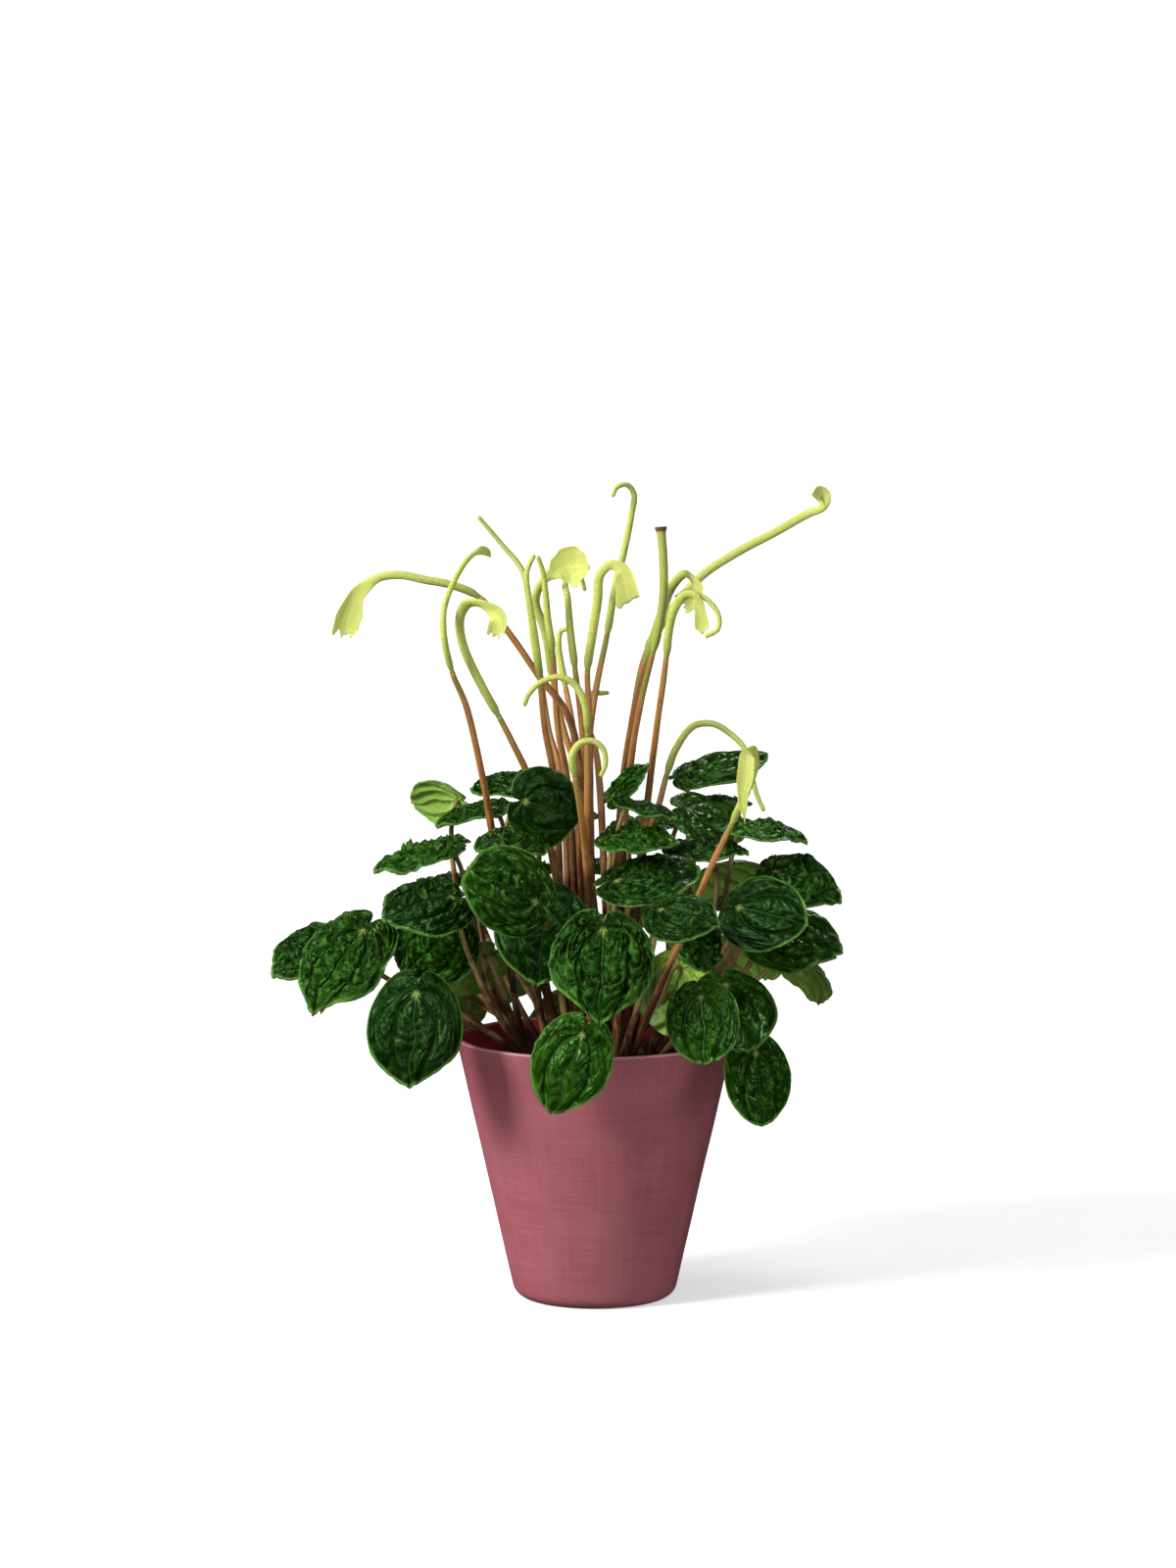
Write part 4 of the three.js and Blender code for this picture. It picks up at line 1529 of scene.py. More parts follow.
@dataclass(frozen=True)
class Blade:
    """The heart-shaped, corrugated sheet of every leaf, for a unit length.

    Main veins are counted from the midrib, and each has a direction, in degrees
    from the tip, where it leaves the joint and where it meets the margin.
    """

    thickness: float = 0.7  # mm
    leaving: tuple[float, ...] = (0, 64, 104, 148, 212)
    ending: tuple[float, ...] = (0, 9, 52, 108, 252)
    columns: tuple[int, ...] = (9, 12, 12, 18)  # faces from vein to vein
    half_columns: int = 42  # the last interval ends halfway, at the notch
    notch: float = 3.5  # veins from the midrib
    strength: tuple[float, ...] = (0.75, 0.8, 0.5, 0.3, 0.3)  # of each vein
    rows: int = 38
    seed: float = 0.0
    ahead: float = 0.90  # from the joint straight to the margin, without its point
    shorter: float = 0.66  # how much less it is at the notch
    tip: float = 0.10  # how far its point stands out
    tip_width: float = 0.17  # radians
    cheek: float = 0.075  # how far each side bulges
    cheek_turn: float = 1.05  # radians from the tip
    cheek_width: float = 0.6  # radians
    notch_depth: float = 0.75
    notch_width: float = 0.22  # radians
    crooked: float = 0.05  # how uneven the outline is
    warp: float = 0.07  # how far the blade is bent at random
    warp_pace: float = 1.7  # how often it bends in a length
    bow: float = 1.8  # how late a vein turns to where it ends
    stray: float = 9  # degrees that a vein wanders
    ripple: float = 0.033
    furrow: float = 3.0  # 2 is a plain wave, and more makes the furrows narrower
    channel: float = 0.30  # mm that a main vein is sunk
    channel_width: float = 2.0  # mm
    droop: float = 0.3
    cup: float = 0.2
    lobe_lift: float = 0.35
    rolled: float = 0.014  # how far the margin is rolled under
    pucker: float = 1.0
    wrinkles: float = 7.5  # from the joint to the margin
    chevron: float = 1.2  # how far a wrinkle runs ahead on the ridge
    wander: float = 1.3
    wrinkle: float = 0.072
    pillow: float = 0.35  # a wrinkle's mean height, of its whole height
    lump: float = 0.030
    lump_pace: float = 8  # how often lumps come in a length
    calm: float = 0.65  # how much flatter the wrinkles are at the margin
    scallop: float = 0.012

    def drift(self, x: float, y: float, key: float) -> float:
        """Soft noise from -1 to 1, which is the leaf's own."""
        return noise.noise(Vector((x, y, self.seed + key)))

    def outline(self, angle: float) -> float:
        """Finds the reach of the margin.

        Args:
            angle: The direction, in radians from the tip.

        Returns:
            The reach there.
        """
        rounded = self.ahead - self.shorter * math.sin(angle / 2) ** 2
        tip = self.tip * bell(angle, self.tip_width)
        cheek = self.cheek * bell(abs(angle) - self.cheek_turn, self.cheek_width)
        notch = 1 - self.notch_depth * bell(math.pi - abs(angle), self.notch_width)
        uneven = self.drift(math.cos(angle) * 1.6, math.sin(angle) * 1.6, 0)
        return (rounded + tip + cheek) * notch * (1 + self.crooked * uneven)

    def count_of(self, column: int) -> float:
        """Finds how many veins from the midrib a column of the mesh lies.

        Args:
            column: Its number, from the midrib.

        Returns:
            The count of veins, below 0 on the other side.
        """
        left = abs(column)
        for interval, width in enumerate(self.columns):
            if left <= width:
                break
            left -= width
        return math.copysign(interval + left / width, column)

    def direction(self, count: float, reach: float) -> float:
        """Finds the direction of a spot among the veins.

        Args:
            count: Veins from the midrib.
            reach: Share of the way to the margin.

        Returns:
            The angle from the tip, in radians.
        """
        low = min(int(abs(count)), len(self.ending) - 2)
        share = abs(count) - low
        ending = blend(self.ending[low], self.ending[low + 1], share)
        leaving = blend(self.leaving[low], self.leaving[low + 1], share)
        turn = blend(leaving, ending, reach**self.bow)
        stray = self.stray * self.drift(reach * 3, count * 1.2, 11)
        stray *= self.seam(count) * ease(reach, 0.0, 0.5)
        return math.copysign(math.radians(turn), count) + math.radians(stray)

    def spot(self, count: float, reach: float) -> tuple[float, float]:
        """Finds a spot of the flat unit blade.

        Args:
            count: Veins from the midrib.
            reach: Share of the way to the margin.

        Returns:
            Its x, towards the tip, and its y.
        """
        way = self.direction(count, reach)
        radius = reach * self.outline(way)
        return radius * math.cos(way), radius * math.sin(way)

    def seam(self, count: float) -> float:
        """0 at the notch, where both sides of the sheet meet, and 1 away from it."""
        return ease(self.notch - abs(count), 0.0, 0.7)

    def wrinkle_phase(self, count: float, reach: float) -> float:
        """Finds where a spot lies among the wrinkles.

        Args:
            count: Veins from the midrib.
            reach: Share of the way to the margin.

        Returns:
            Its place, with whole numbers in the valleys.
        """
        interval = math.floor(count)
        return (
            self.wrinkles * reach
            - self.chevron * math.sin(math.pi * (count - interval))
            + 0.5 * (interval % 2)
            + self.wander * self.drift(count * 1.9, reach * 5.0, 0)
            + 4
        )

    def texture(self, count: float, reach: float) -> float:
        """Finds the height of the wrinkles and lumps at their full depth.

        Args:
            count: Veins from the midrib.
            reach: Share of the way to the margin.

        Returns:
            The height, as a share of the blade's length.
        """
        phase = self.wrinkle_phase(count, reach)
        pillow = self.pillow - math.cos(math.tau * phase) / 2
        x, y = self.spot(count, reach)
        fine = Vector((x * self.lump_pace, y * self.lump_pace, self.seed + 7))
        uneven = 0.8 + 1.2 * noise.noise(fine * 0.6)
        return self.wrinkle * pillow * uneven + self.lump * noise.fractal(fine, 1.0, 2.0, 3)

    def height(self, count: float, reach: float, gap: float, length: float) -> float:
        """Finds the relief of the middle sheet, from its veins down to its lumps.

        Args:
            count: Veins from the midrib.
            reach: Share of the way to the margin.
            gap: Distance to the nearest main vein, in mm.
            length: The blade's length, in mm.

        Returns:
            The height, as a share of the blade's length.
        """
        low = int(abs(count))
        strong = blend(*self.strength[low : low + 2], abs(count) - low)
        swell = reach * (1.9 - 1.2 * reach)
        near = abs(math.cos(math.pi * count)) ** self.furrow
        ripple = -self.ripple * swell * strong * (2 * near - 1)
        sunk = bell(gap, self.channel_width) * ease(reach, 0.0, 0.25)
        channel = -self.channel * strong * sunk * (1 - 0.6 * reach) / length
        spread = ease(gap, 0.0, 1.6 * strong) * ease(reach, 0.08, 0.35)
        spread *= 1 - self.calm * ease(reach, 0.8, 1.0)
        texture = self.seam(count) * spread * self.pucker * self.texture(count, reach)
        x, y = self.spot(count, reach)
        warp = self.drift(x * self.warp_pace, y * self.warp_pace, 3) * reach * reach
        return ripple + channel + self.warp * warp + texture

    def point(self, count: float, reach: float, relief: float, scallop: float) -> Vector:
        """Finds a point of the unit blade.

        Args:
            count: Veins from the midrib.
            reach: Share of the way to the margin.
            relief: The height of its relief.
            scallop: How far the margin stands out between wrinkles, about 0.5 at most.

        Returns:
            The point, with x to the tip and z from the upper face.
        """
        x, y = self.spot(count, reach)
        out = 1 + self.scallop * scallop * ease(reach, 0.7, 1.0) * self.seam(count)
        bow = -self.droop * x * x if x > 0 else self.lobe_lift * x * x
        roll = -self.rolled * ease(reach, 0.9, 1.0)
        return Vector((x * out, y * out, bow - self.cup * y * y + relief + roll))


BLADE = Blade()


@dataclass
class Foliage:
    """One leaf in place: the axes of its blade, its freshness and its wrinkles."""

    leaf: Leaf
    seed: float
    petiole_foot: float = 1.5  # radius
    petiole_top: float = 0.9
    petiole_sides: int = 10
    swelling: float = 0.35  # at the joint

    def __post_init__(self) -> None:
        """Draws what is the leaf's own, and works out its axes."""
        self.tone, pucker, tip = self.leaf.surface.value
        own = random.Random(self.seed)
        if self.leaf.surface is Surface.PLAIN:
            self.tone = own.uniform(0.05, 0.6)
            pucker = own.uniform(0.65, 1.1)
            tip = own.uniform(0.03, 0.09)
        leaving = [turn * own.uniform(0.93, 1.07) for turn in BLADE.leaving[:4]]
        self.form = replace(
            BLADE,
            seed=self.seed,
            pucker=pucker,
            tip=tip,
            wrinkles=BLADE.wrinkles * own.uniform(0.85, 1.15),
            cup=BLADE.cup * own.uniform(0.4, 1.6),
            leaving=(*leaving, 360 - leaving[-1]),
        )
        self.start = Vector(self.leaf.joint)
        chord = Vector(self.leaf.tip) - self.start
        to_tip = chord.normalized()
        bend = math.atan(BLADE.droop)
        outwards = Vector((self.start.x, self.start.y, 0)).normalized()
        hint = Vector(self.leaf.face) if self.leaf.face else UP + 0.6 * outwards
        lift = (hint - to_tip * hint.dot(to_tip)).normalized()
        self.along = to_tip * math.cos(bend) + lift * math.sin(bend)
        self.out = lift * math.cos(bend) - to_tip * math.sin(bend)
        self.across = self.out.cross(self.along)
        self.length = chord.length * math.cos(bend)

    def gap(self, count: float, reach: float) -> float:
        """Finds how far a spot is from the nearest main vein.

        Args:
            count: Veins from the midrib.
            reach: Share of the way to the margin.

        Returns:
            The distance, in mm.
        """
        form = self.form
        low = math.floor(abs(count))
        ends = form.spot(low, reach), form.spot(min(low + 1, form.notch), reach)
        spacing = math.dist(*ends) * self.length * self.leaf.width
        share = abs(count) - low
        if low + 1 > form.notch:
            return share * 2 * spacing
        return min(share, 1 - share) * spacing

    def blade(self) -> Mesh:
        """Makes the blade: a corrugated sheet with an underside and a margin.

        Returns:
            The blade's mesh.
        """
        bm = new_mesh()
        form, half = self.form, self.form.half_columns
        grid = bmesh.ops.create_grid(bm, x_segments=2 * half, y_segments=form.rows, size=1, calc_uvs=True)
        phases, gaps, veins = Layer.PHASE.on(bm), Layer.GAP.on(bm), Layer.VEIN.on(bm)
        for vert in grid["verts"]:
            reach = (vert.co.y + 1) / 2
            count = form.count_of(-round(vert.co.x * half))
            gap = self.gap(count, reach)
            phase = form.wrinkle_phase(count, reach)
            vert[phases], vert[gaps], vert[veins] = phase, gap, abs(count)
            relief = form.height(count, reach, gap, self.length)
            scallop = abs(math.sin(math.pi * phase)) - 0.5
            spot = form.point(count, reach, relief, scallop) * self.length
            vert.co = (
                self.start
                + self.along * spot.x
                + self.across * (spot.y * self.leaf.width)
                + self.out * (spot.z + form.thickness / 2)
            )
        bmesh.ops.remove_doubles(bm, verts=bm.verts[:], dist=CLOSE)
        Layer.TONE.fill(bm, self.tone)
        Layer.PUCKER.fill(bm, form.pucker)
        thicken(bm, form.thickness)
        return bm

    def petiole(self, foot: Vector) -> Mesh:
        """Makes the stem that carries the blade from below.

        Args:
            foot: Where it leaves the shoot.

        Returns:
            The stem's mesh.
        """
        outwards = Vector((foot.x, foot.y, 0)).normalized()
        spread = math.hypot(self.start.x, self.start.y)
        leave = (UP + ease(spread, 10, 90) * 1.5 * outwards).normalized()
        arrive = (self.out + 0.5 * self.along).normalized()
        end = self.start - 0.1 * self.out
        span = (self.start - foot).length
        lean = Vector(self.leaf.lean) if self.leaf.lean else foot + leave * span * 0.4
        path = BentPath(foot, lean, end - arrive * span * 0.28, end)

        def reach(ring: Ring, turn: float) -> Vector:
            """A round section, faintly ribbed, that swells at the joint.

            Args:
                ring: The cross-section.
                turn: The turn round it, in radians.

            Returns:
                The surface point.
            """
            radius = blend(self.petiole_foot, self.petiole_top, ring.share)
            radius += self.swelling * ease(ring.left, 3.0, 0.0)
            return ring.rim(radius * (1 + 0.05 * math.sin(3 * turn + ring.share * 2)), turn)

        rings = rings_of(path, 0, 1, 3.0)
        bm = stem(rings, self.petiole_sides, reach, LeafPart.PETIOLE)
        Layer.TONE.fill(bm, self.tone)
        return bm


@dataclass(frozen=True)
class LeafyShoot:
    """A short stem in the soil with its leaves, all grown as one piece."""

    shoot: Shoot
    number: int
    ring_radius: float = 25
    radius: float = 3.0
    sides: int = 14
    high: float = 98.0

    def build(self, materials: tuple[Material, ...]) -> Piece:
        """Builds the shoot.

        Args:
            materials: For upper faces, undersides, margins and petioles.

        Returns:
            The shoot.
        """
        x, y = ring_point(self.ring_radius, self.shoot.azimuth)
        heights = STEM_FOOT, STEM_FOOT + 5, self.high - 5, self.high
        path = BentPath(*(Vector((x, y, height)) for height in heights))

        def reach(ring: Ring, turn: float) -> Vector:
            """A stout round section with a domed top."""
            radius = self.radius * blend(1.0, 0.8, ring.share)
            return ring.rim(radius * math.sqrt(ease(ring.left, -1.0, 3.0)), turn)

        bm = stem(rings_of(path, 0, 1, 1.5), self.sides, reach, LeafPart.PETIOLE)
        foot = Vector((x, y, STEM_FREE))
        for index, leaf in enumerate(self.shoot.leaves):
            foliage = Foliage(leaf, self.number * 10 + index)
            add_part(bm, foliage.blade())
            add_part(bm, foliage.petiole(foot))
        return finished(f"foliage_{self.number:02d}", bm, materials)


# ---- Flowers ----


class Row(Enum):
    """Where a flower stalk stands in the soil, as a radius from the centre."""

    CENTRE = 0.0
    INNER = 6.3
    OUTER = 12.8
    EDGE = 25.0


@dataclass(frozen=True)
class Crest:
    """How a spike's end is flattened, seen from the front.

    Each side is a curve of half widths in mm by share of the spike.
    """

    left: Curve
    right: Curve
    start: float  # share of the spike where it starts to flatten
    full: float  # share of it where it is flat
    ragged: float = 0.0  # mm that the end's teeth stand out
    teeth: float = 3.0
    thickness: float = 0.8
    hollow: float = 0.35  # how deep it is cupped from the front, by half widths

    @staticmethod
    def even(side: Curve, start: float, full: float, ragged: float = 0.0) -> Crest:
        """A crest with both sides alike."""
        return Crest(side, side, start, full, ragged)

    def flat(self, share: float) -> float:
        """How flat it is at a share of the spike, from 0 to 1."""
        return ease(share, self.start, self.full)


@dataclass(frozen=True)
class Flower:
    """A flower by its foot, its bare stalk's points and its spike's points."""

    foot: tuple[Row, float]
    stalk: tuple[Triple, ...]
    spike: tuple[Triple, ...]
    crest: Crest | None = None
    cut: bool = False
    curl: tuple[Triple, ...] = ()  # a thin arm's points, where it has one
    tone: float = 1.0

    def path(self) -> tuple[GrowthPath, float]:
        """Draws the curve from the soil to the tip.

        Returns:
            The curve, and the share of it where the spike starts.
        """
        row, azimuth = self.foot
        x, y = ring_point(row.value, azimuth)
        straight = (x, y, STEM_FOOT), (x, y, STEM_FREE)
        points = [*map(Vector, (*straight, *self.stalk, *self.spike))]
        return GrowthPath(points), (len(self.stalk) + 1) / (len(points) - 1)


FLOWERS: tuple[Flower, ...] = (
    Flower(
        (Row.INNER, 210), ((-9, -4, 231), (-23, -8, 253), (-36, -12, 272), (-46, -14, 284)),
        ((-57, -16, 289), (-67, -17, 291), (-78, -17, 293), (-88, -16, 291), (-95, -14, 284),
         (-98, -12, 277), (-100, -10, 269)),
        Crest(
            ((0, 1.6), (0.5, 1.6), (0.66, 3.0), (0.85, 5.6), (0.95, 5.2), (1, 3.6)),
            ((0, 1.6), (0.55, 1.6), (0.72, 3.2), (0.9, 4.8), (1, 4.9)),
            0.5, 0.75, 2.0,
        ),
    ),
    Flower(
        (Row.OUTER, 210), ((-40, -14, 186), (-44, -22, 210), (-51, -34, 243), (-56, -40, 256)),
        ((-59, -44, 270), (-59, -42, 281), (-55, -38, 292), (-49, -32, 301), (-44, -26, 303),
         (-41, -20, 300)),
        Crest.even(((0, 1.3), (0.7, 1.0), (0.82, 1.9), (0.9, 1.6), (1, 0.1)), 0.7, 0.85),
    ),
    Flower(
        (Row.OUTER, 240), ((-18, -14, 185), (-26, -20, 212), (-33, -28, 228), (-38, -31, 238)),
        ((-45, -34, 251), (-52, -36, 267), (-53, -38, 277), (-50, -42, 283), (-44, -48, 283),
         (-38, -52, 278), (-39, -54, 271)),
        Crest.even(((0, 1.6), (0.4, 1.75), (0.6, 2.3), (0.85, 3.7), (1, 3.4)), 0.62, 0.95, 2.0),
    ),
    Flower(
        (Row.OUTER, 150), ((-13, 12, 206), (-19, 22, 229), (-22, 30, 248)),
        ((-25, 36, 264), (-27, 42, 279), (-30, 46, 292), (-38, 48, 302), (-48, 46, 314)),
    ),
    Flower(
        (Row.OUTER, 180), ((-16, -9, 208), (-20, -14, 232), (-22, -18, 253)),
        ((-24, -20, 270), (-26, -21, 283), (-27, -20, 294), (-24, -16, 301)),
    ),
    Flower(
        (Row.INNER, 150), ((-11, 3, 207), (-15, 3, 231), (-17, 2, 261)),
        ((-19, 2, 275), (-20, 1, 287), (-21, 0, 294), (-23, -2, 300)),
    ),
    Flower(
        (Row.INNER, 90), ((-6, 9, 206), (-13, 14, 230), (-17, 18, 249)),
        ((-20, 16, 268), (-24, 14, 281), (-21, 10, 289), (-15, 6, 293), (-9, 2, 295),
         (-2, -1, 295)),
        Crest(
            ((0, 1.7), (0.5, 1.7), (0.6, 2.6), (0.68, 6.0), (0.78, 8.4), (0.86, 8.6), (0.94, 6.0),
             (1, 0.6)),
            ((0, 1.7), (0.54, 1.7), (0.64, 2.6), (0.73, 5.6), (0.8, 8.2), (0.87, 8.4), (0.94, 4.6),
             (1, 0.6)),
            0.5, 0.7,
        ),
    ),
    Flower(
        (Row.CENTRE, 0), ((-4, 1, 215), (-6, 4, 238), (-8, 6, 254)),
        ((-10, 8, 270), (-11, 10, 282), (-12, 16, 288), (-10, 22, 292), (-6, 28, 290),
         (-4, 30, 284)),
    ),
    Flower(
        (Row.INNER, 270), ((-2, -6, 207), (-2, -12, 232), (-3, -16, 255)),
        ((-1, -18, 270), (1, -18, 283), (2, -18, 293), (6, -18, 297), (11, -20, 296),
         (14, -21, 291), (17, -22, 284)),
        Crest(
            ((0, 1.7), (0.6, 1.9), (0.8, 1.9), (1, 1.0)),
            ((0, 1.7), (0.55, 1.8), (0.7, 3.4), (0.85, 6.6), (1, 9.2)),
            0.5, 0.75, 1.6,
        ),
    ),
    Flower(
        (Row.OUTER, 90), ((-3, 16, 211), (-1, 25, 236), (2, 30, 252), (5, 34, 266)),
        ((8, 38, 284), (12, 40, 300), (15, 41, 315), (16, 40, 323), (13, 38, 327), (9, 36, 326),
         (7, 34, 322)),
    ),
    Flower(
        (Row.INNER, 330), ((13, -6, 207), (18, -12, 241), (23, -16, 262)),
        ((25, -18, 271), (27, -18, 285), (27, -17, 299), (26, -16, 312)),
        cut=True,
        tone=0.25,
    ),
    Flower(
        (Row.OUTER, 30), ((12, 14, 205), (16, 26, 237), (21, 34, 259)),
        ((30, 38, 274), (43, 42, 289), (58, 44, 299), (73, 44, 307), (87, 42, 315), (93, 40, 318),
         (93, 37, 323), (88, 35, 323)),
        Crest.even(((0, 1.7), (0.72, 1.7), (0.84, 2.8), (0.93, 3.3), (1, 0.4)), 0.76, 0.9),
    ),
    Flower(
        (Row.INNER, 30), ((11, 4, 206), (15, 2, 234), (20, 0, 256)),
        ((23, 0, 266), (27, 0, 278), (31, -3, 288), (36, -8, 293), (40, -12, 289), (39, -14, 285),
         (34, -16, 281)),
        Crest.even(((0, 1.6), (0.6, 1.8), (0.78, 3.0), (0.92, 4.4), (1, 4.4)), 0.6, 0.85, 2.4),
    ),
    Flower(
        (Row.OUTER, 330), ((21, -7, 201), (24, -20, 229), (28, -30, 261)),
        ((29, -32, 272), (31, -34, 280), (35, -36, 286), (39, -38, 286), (41, -39, 280),
         (42, -40, 271)),
        Crest.even(((0, 1.6), (0.6, 1.7), (0.8, 2.2), (0.95, 2.9), (1, 0.5)), 0.65, 0.85),
        curl=((37, -37, 287), (43, -38, 285), (48, -39, 279), (48, -40, 273), (43, -40, 270)),
    ),
    Flower(
        (Row.OUTER, 300), ((-2, -22, 178), (-3, -30, 202), (-3, -34, 222), (-3, -36, 232)),
        ((-4, -38, 243), (-8, -38, 251), (-14, -38, 254), (-21, -36, 252), (-26, -34, 247),
         (-28, -32, 242)),
    ),
    Flower(
        (Row.OUTER, 270), ((-4, -32, 186), (-6, -44, 204), (-8, -50, 216)),
        ((-9, -52, 224), (-6, -52, 229), (-1, -52, 230), (3, -52, 227), (4, -52, 221),
         (2, -52, 216)),
    ),
    Flower(
        (Row.OUTER, 0), ((20, 8, 182), (26, 12, 199), (29, 16, 210)),
        ((33, 18, 221), (40, 18, 230), (48, 16, 231), (55, 14, 227), (60, 10, 222), (63, 6, 212),
         (65, 2, 204), (68, 0, 197)),
    ),
    Flower(
        (Row.EDGE, 303), ((26, -42, 133), (36, -52, 158), (45, -56, 181), (53, -58, 198)),
        ((59, -60, 212), (62, -61, 222), (61, -63, 228), (59, -66, 226), (58, -68, 218),
         (57, -68, 209), (58, -67, 199)),
        Crest.even(
            ((0, 1.5), (0.4, 1.5), (0.5, 2.0), (0.62, 3.1), (0.72, 3.3), (0.86, 2.0), (1, 0.1)),
            0.4, 0.6,
        ),
    ),
    Flower(
        (Row.OUTER, 120), ((-7, 26, 204), (-9, 40, 227), (-12, 50, 243)),
        ((-14, 54, 253), (-15, 56, 261), (-14, 58, 266), (-11, 56, 267)),
    ),
    Flower(
        (Row.OUTER, 60), ((2, 34, 204), (0, 46, 219), (-4, 54, 231)),
        ((-4, 58, 237), (-1, 60, 240), (3, 62, 240), (6, 64, 240)),
    ),
)


@dataclass(frozen=True)
class Stalk:
    """The bare stalk of a flower."""

    flower: Flower
    number: int
    foot: float = 1.75  # radius
    top: float = 1.15
    sides: int = 16
    knot: float = 0.06  # how uneven it is along its way, by its radius
    knot_pace: float = 14  # mm from knot to knot
    ribs: int = 5
    rib: float = 0.03  # how far a rib stands out, by its radius
    twist: float = 3  # radians that the ribs wander

    def build(self, material: Material) -> Piece:
        """Builds the stalk.

        Args:
            material: The stalk's material.

        Returns:
            The stalk.
        """
        path, meet = self.flower.path()
        seed = self.number * 3.7

        def reach(ring: Ring, turn: float) -> Vector:
            """A round section with fine ribs that wander a little.

            Args:
                ring: The cross-section.
                turn: The turn round it, in radians.

            Returns:
                The surface point.
            """
            knots = noise.noise(Vector((ring.travelled / self.knot_pace, seed, 0)))
            ribs = self.rib * math.sin(self.ribs * turn + knots * self.twist)
            radius = blend(self.foot, self.top, ring.share)
            return ring.rim(radius * (1 + self.knot * knots + ribs), turn)

        bm = stem(rings_of(path, 0, meet, 1.6), self.sides, reach)
        return finished(f"stalk_{self.number:02d}", bm, (material,))


@dataclass
class Spike:
    """The flower spike on its stalk: round and budded, or flattened to a crest."""

    flower: Flower
    number: int
    radius: float = 1.55
    tip_radius: float = 0.8
    cut_radius: float = 1.75
    cut_flare: float = 0.7
    brown_rings: float = 4.5  # at a cut end
    neck: float = 0.66  # how much thinner it starts
    neck_length: float = 4.0
    arm_radius: float = 1.05
    arm_sides: int = 14
    arm_flat: float = 0.4
    bump: float = 0.12  # on the arm
    bud: float = 0.10  # how far a bud stands out
    pit: float = 0.35  # how far the surface sinks between buds, by a bud
    smooth: float = 0.85  # how much flatter buds are on a crest
    sides: int = 24
    pitch: float = 0.47
    crest_sides: int = 36
    crest_pitch: float = 0.564

    def __post_init__(self) -> None:
        """Cuts the spike into rings, and aims its crest."""
        self.crest = self.flower.crest
        if self.crest:
            self.sides, self.pitch = self.crest_sides, self.crest_pitch
        path, meet = self.flower.path()
        self.rings = rings_of(path, meet, 1, self.pitch)
        self.step = self.rings[1].travelled
        self.aims = self.crest_aims() if self.crest else []

    def crest_aims(self) -> list[tuple[Vector, float]]:
        """Finds how the crest lies across each ring, with no flip on the way.

        Returns:
            For each ring, the direction across it that faces the front, and 1 where
            that is its right, or -1 where it is its left.
        """
        aims: list[tuple[Vector, float]] = []
        for ring in self.rings:
            before = ring.share <= self.crest.start
            guide = ring.across if before or not aims else aims[-1][0]
            right = ring.along.cross(FRONT)
            sense = 1.0 if right.dot(guide) >= 0 else -1.0
            aims.append((right.normalized() * sense, sense))
        return aims

    def swell(self, ring: Ring) -> float:
        """How far a ring has come to its full width, past the spike's neck."""
        return blend(self.neck, 1.0, ease(ring.travelled, 0.0, self.neck_length))

    def bud_at(self, ring: Ring, turn: float) -> float:
        """Finds how far the surface stands out, where every other point is a bud.

        Args:
            ring: The cross-section.
            turn: The turn round it, in radians.

        Returns:
            How far, in mm.
        """
        row = round(ring.travelled / self.step)
        column = round(turn / math.tau * self.sides)
        grown = ease(ring.travelled, 0.0, 6.0) * ease(ring.left, 0.0, 1.0)
        return self.bud * grown * (1.0 if (row + column) % 2 else -self.pit)

    def round_reach(self, ring: Ring, turn: float) -> Vector:
        """Finds a surface point where it tapers to a domed tip, or widens to a cut.

        Args:
            ring: The cross-section.
            turn: The turn round it, in radians.

        Returns:
            The point.
        """
        end = self.cut_radius if self.flower.cut else self.tip_radius
        radius = blend(self.radius, end, ring.share) * self.swell(ring)
        if self.flower.cut:
            radius += self.cut_flare * ease(ring.left, 3.0, 0.0)
        else:
            radius *= math.sqrt(max(1 - (1 - min(ring.left / end, 1)) ** 2, 0.01))
        return ring.rim(radius + self.bud_at(ring, turn), turn)

    def crest_reach(self, ring: Ring, turn: float) -> Vector:
        """Finds a surface point where it turns to the front and flattens to a crest.

        Args:
            ring: The cross-section.
            turn: The turn round it, in radians.

        Returns:
            The point.
        """
        crest = self.crest
        flat = crest.flat(ring.share)
        aim, sense = self.aims[round(ring.travelled / self.step)]
        side = ring.across.lerp(aim, flat).normalized()
        lateral = math.cos(turn)
        right = along_curve(crest.right, ring.share)
        left = along_curve(crest.left, ring.share)
        wide = (right if lateral * sense > 0 else left) * self.swell(ring)
        plump = blend(self.radius, self.tip_radius, ring.share)
        thick = blend(plump, crest.thickness / 2, flat) * self.swell(ring)
        bud = self.bud_at(ring, turn) * (1 - self.smooth * flat)
        raised = thick + bud if ring.left > 0.01 else 0
        cup = -crest.hollow * flat * (left + right) / 2 * (1 - lateral * lateral)
        tooth = noise.noise(Vector((lateral * crest.teeth, self.number, 0)))
        jag = crest.ragged * tooth * ease(ring.share, 0.8, 1.0) * 2
        return (
            ring.centre
            + ring.along * jag
            + side * lateral * (wide + bud)
            + ring.along.cross(side) * math.sin(turn) * raised
            + FRONT * cup
        )

    def arm(self) -> Mesh:
        """Makes the thin arm that leaves the spike and comes back to it.

        Returns:
            The arm's mesh.
        """
        path = GrowthPath([Vector(point) for point in self.flower.curl])

        def reach(ring: Ring, turn: float) -> Vector:
            """A thin round section with small buds.

            Args:
                ring: The cross-section.
                turn: The turn round it, in radians.

            Returns:
                The surface point.
            """
            way = Vector((math.cos(turn), math.sin(turn), 0))
            bumps = noise.noise(ring.centre * 1.3 + way)
            return ring.rim(self.arm_radius + self.bump * bumps, turn)

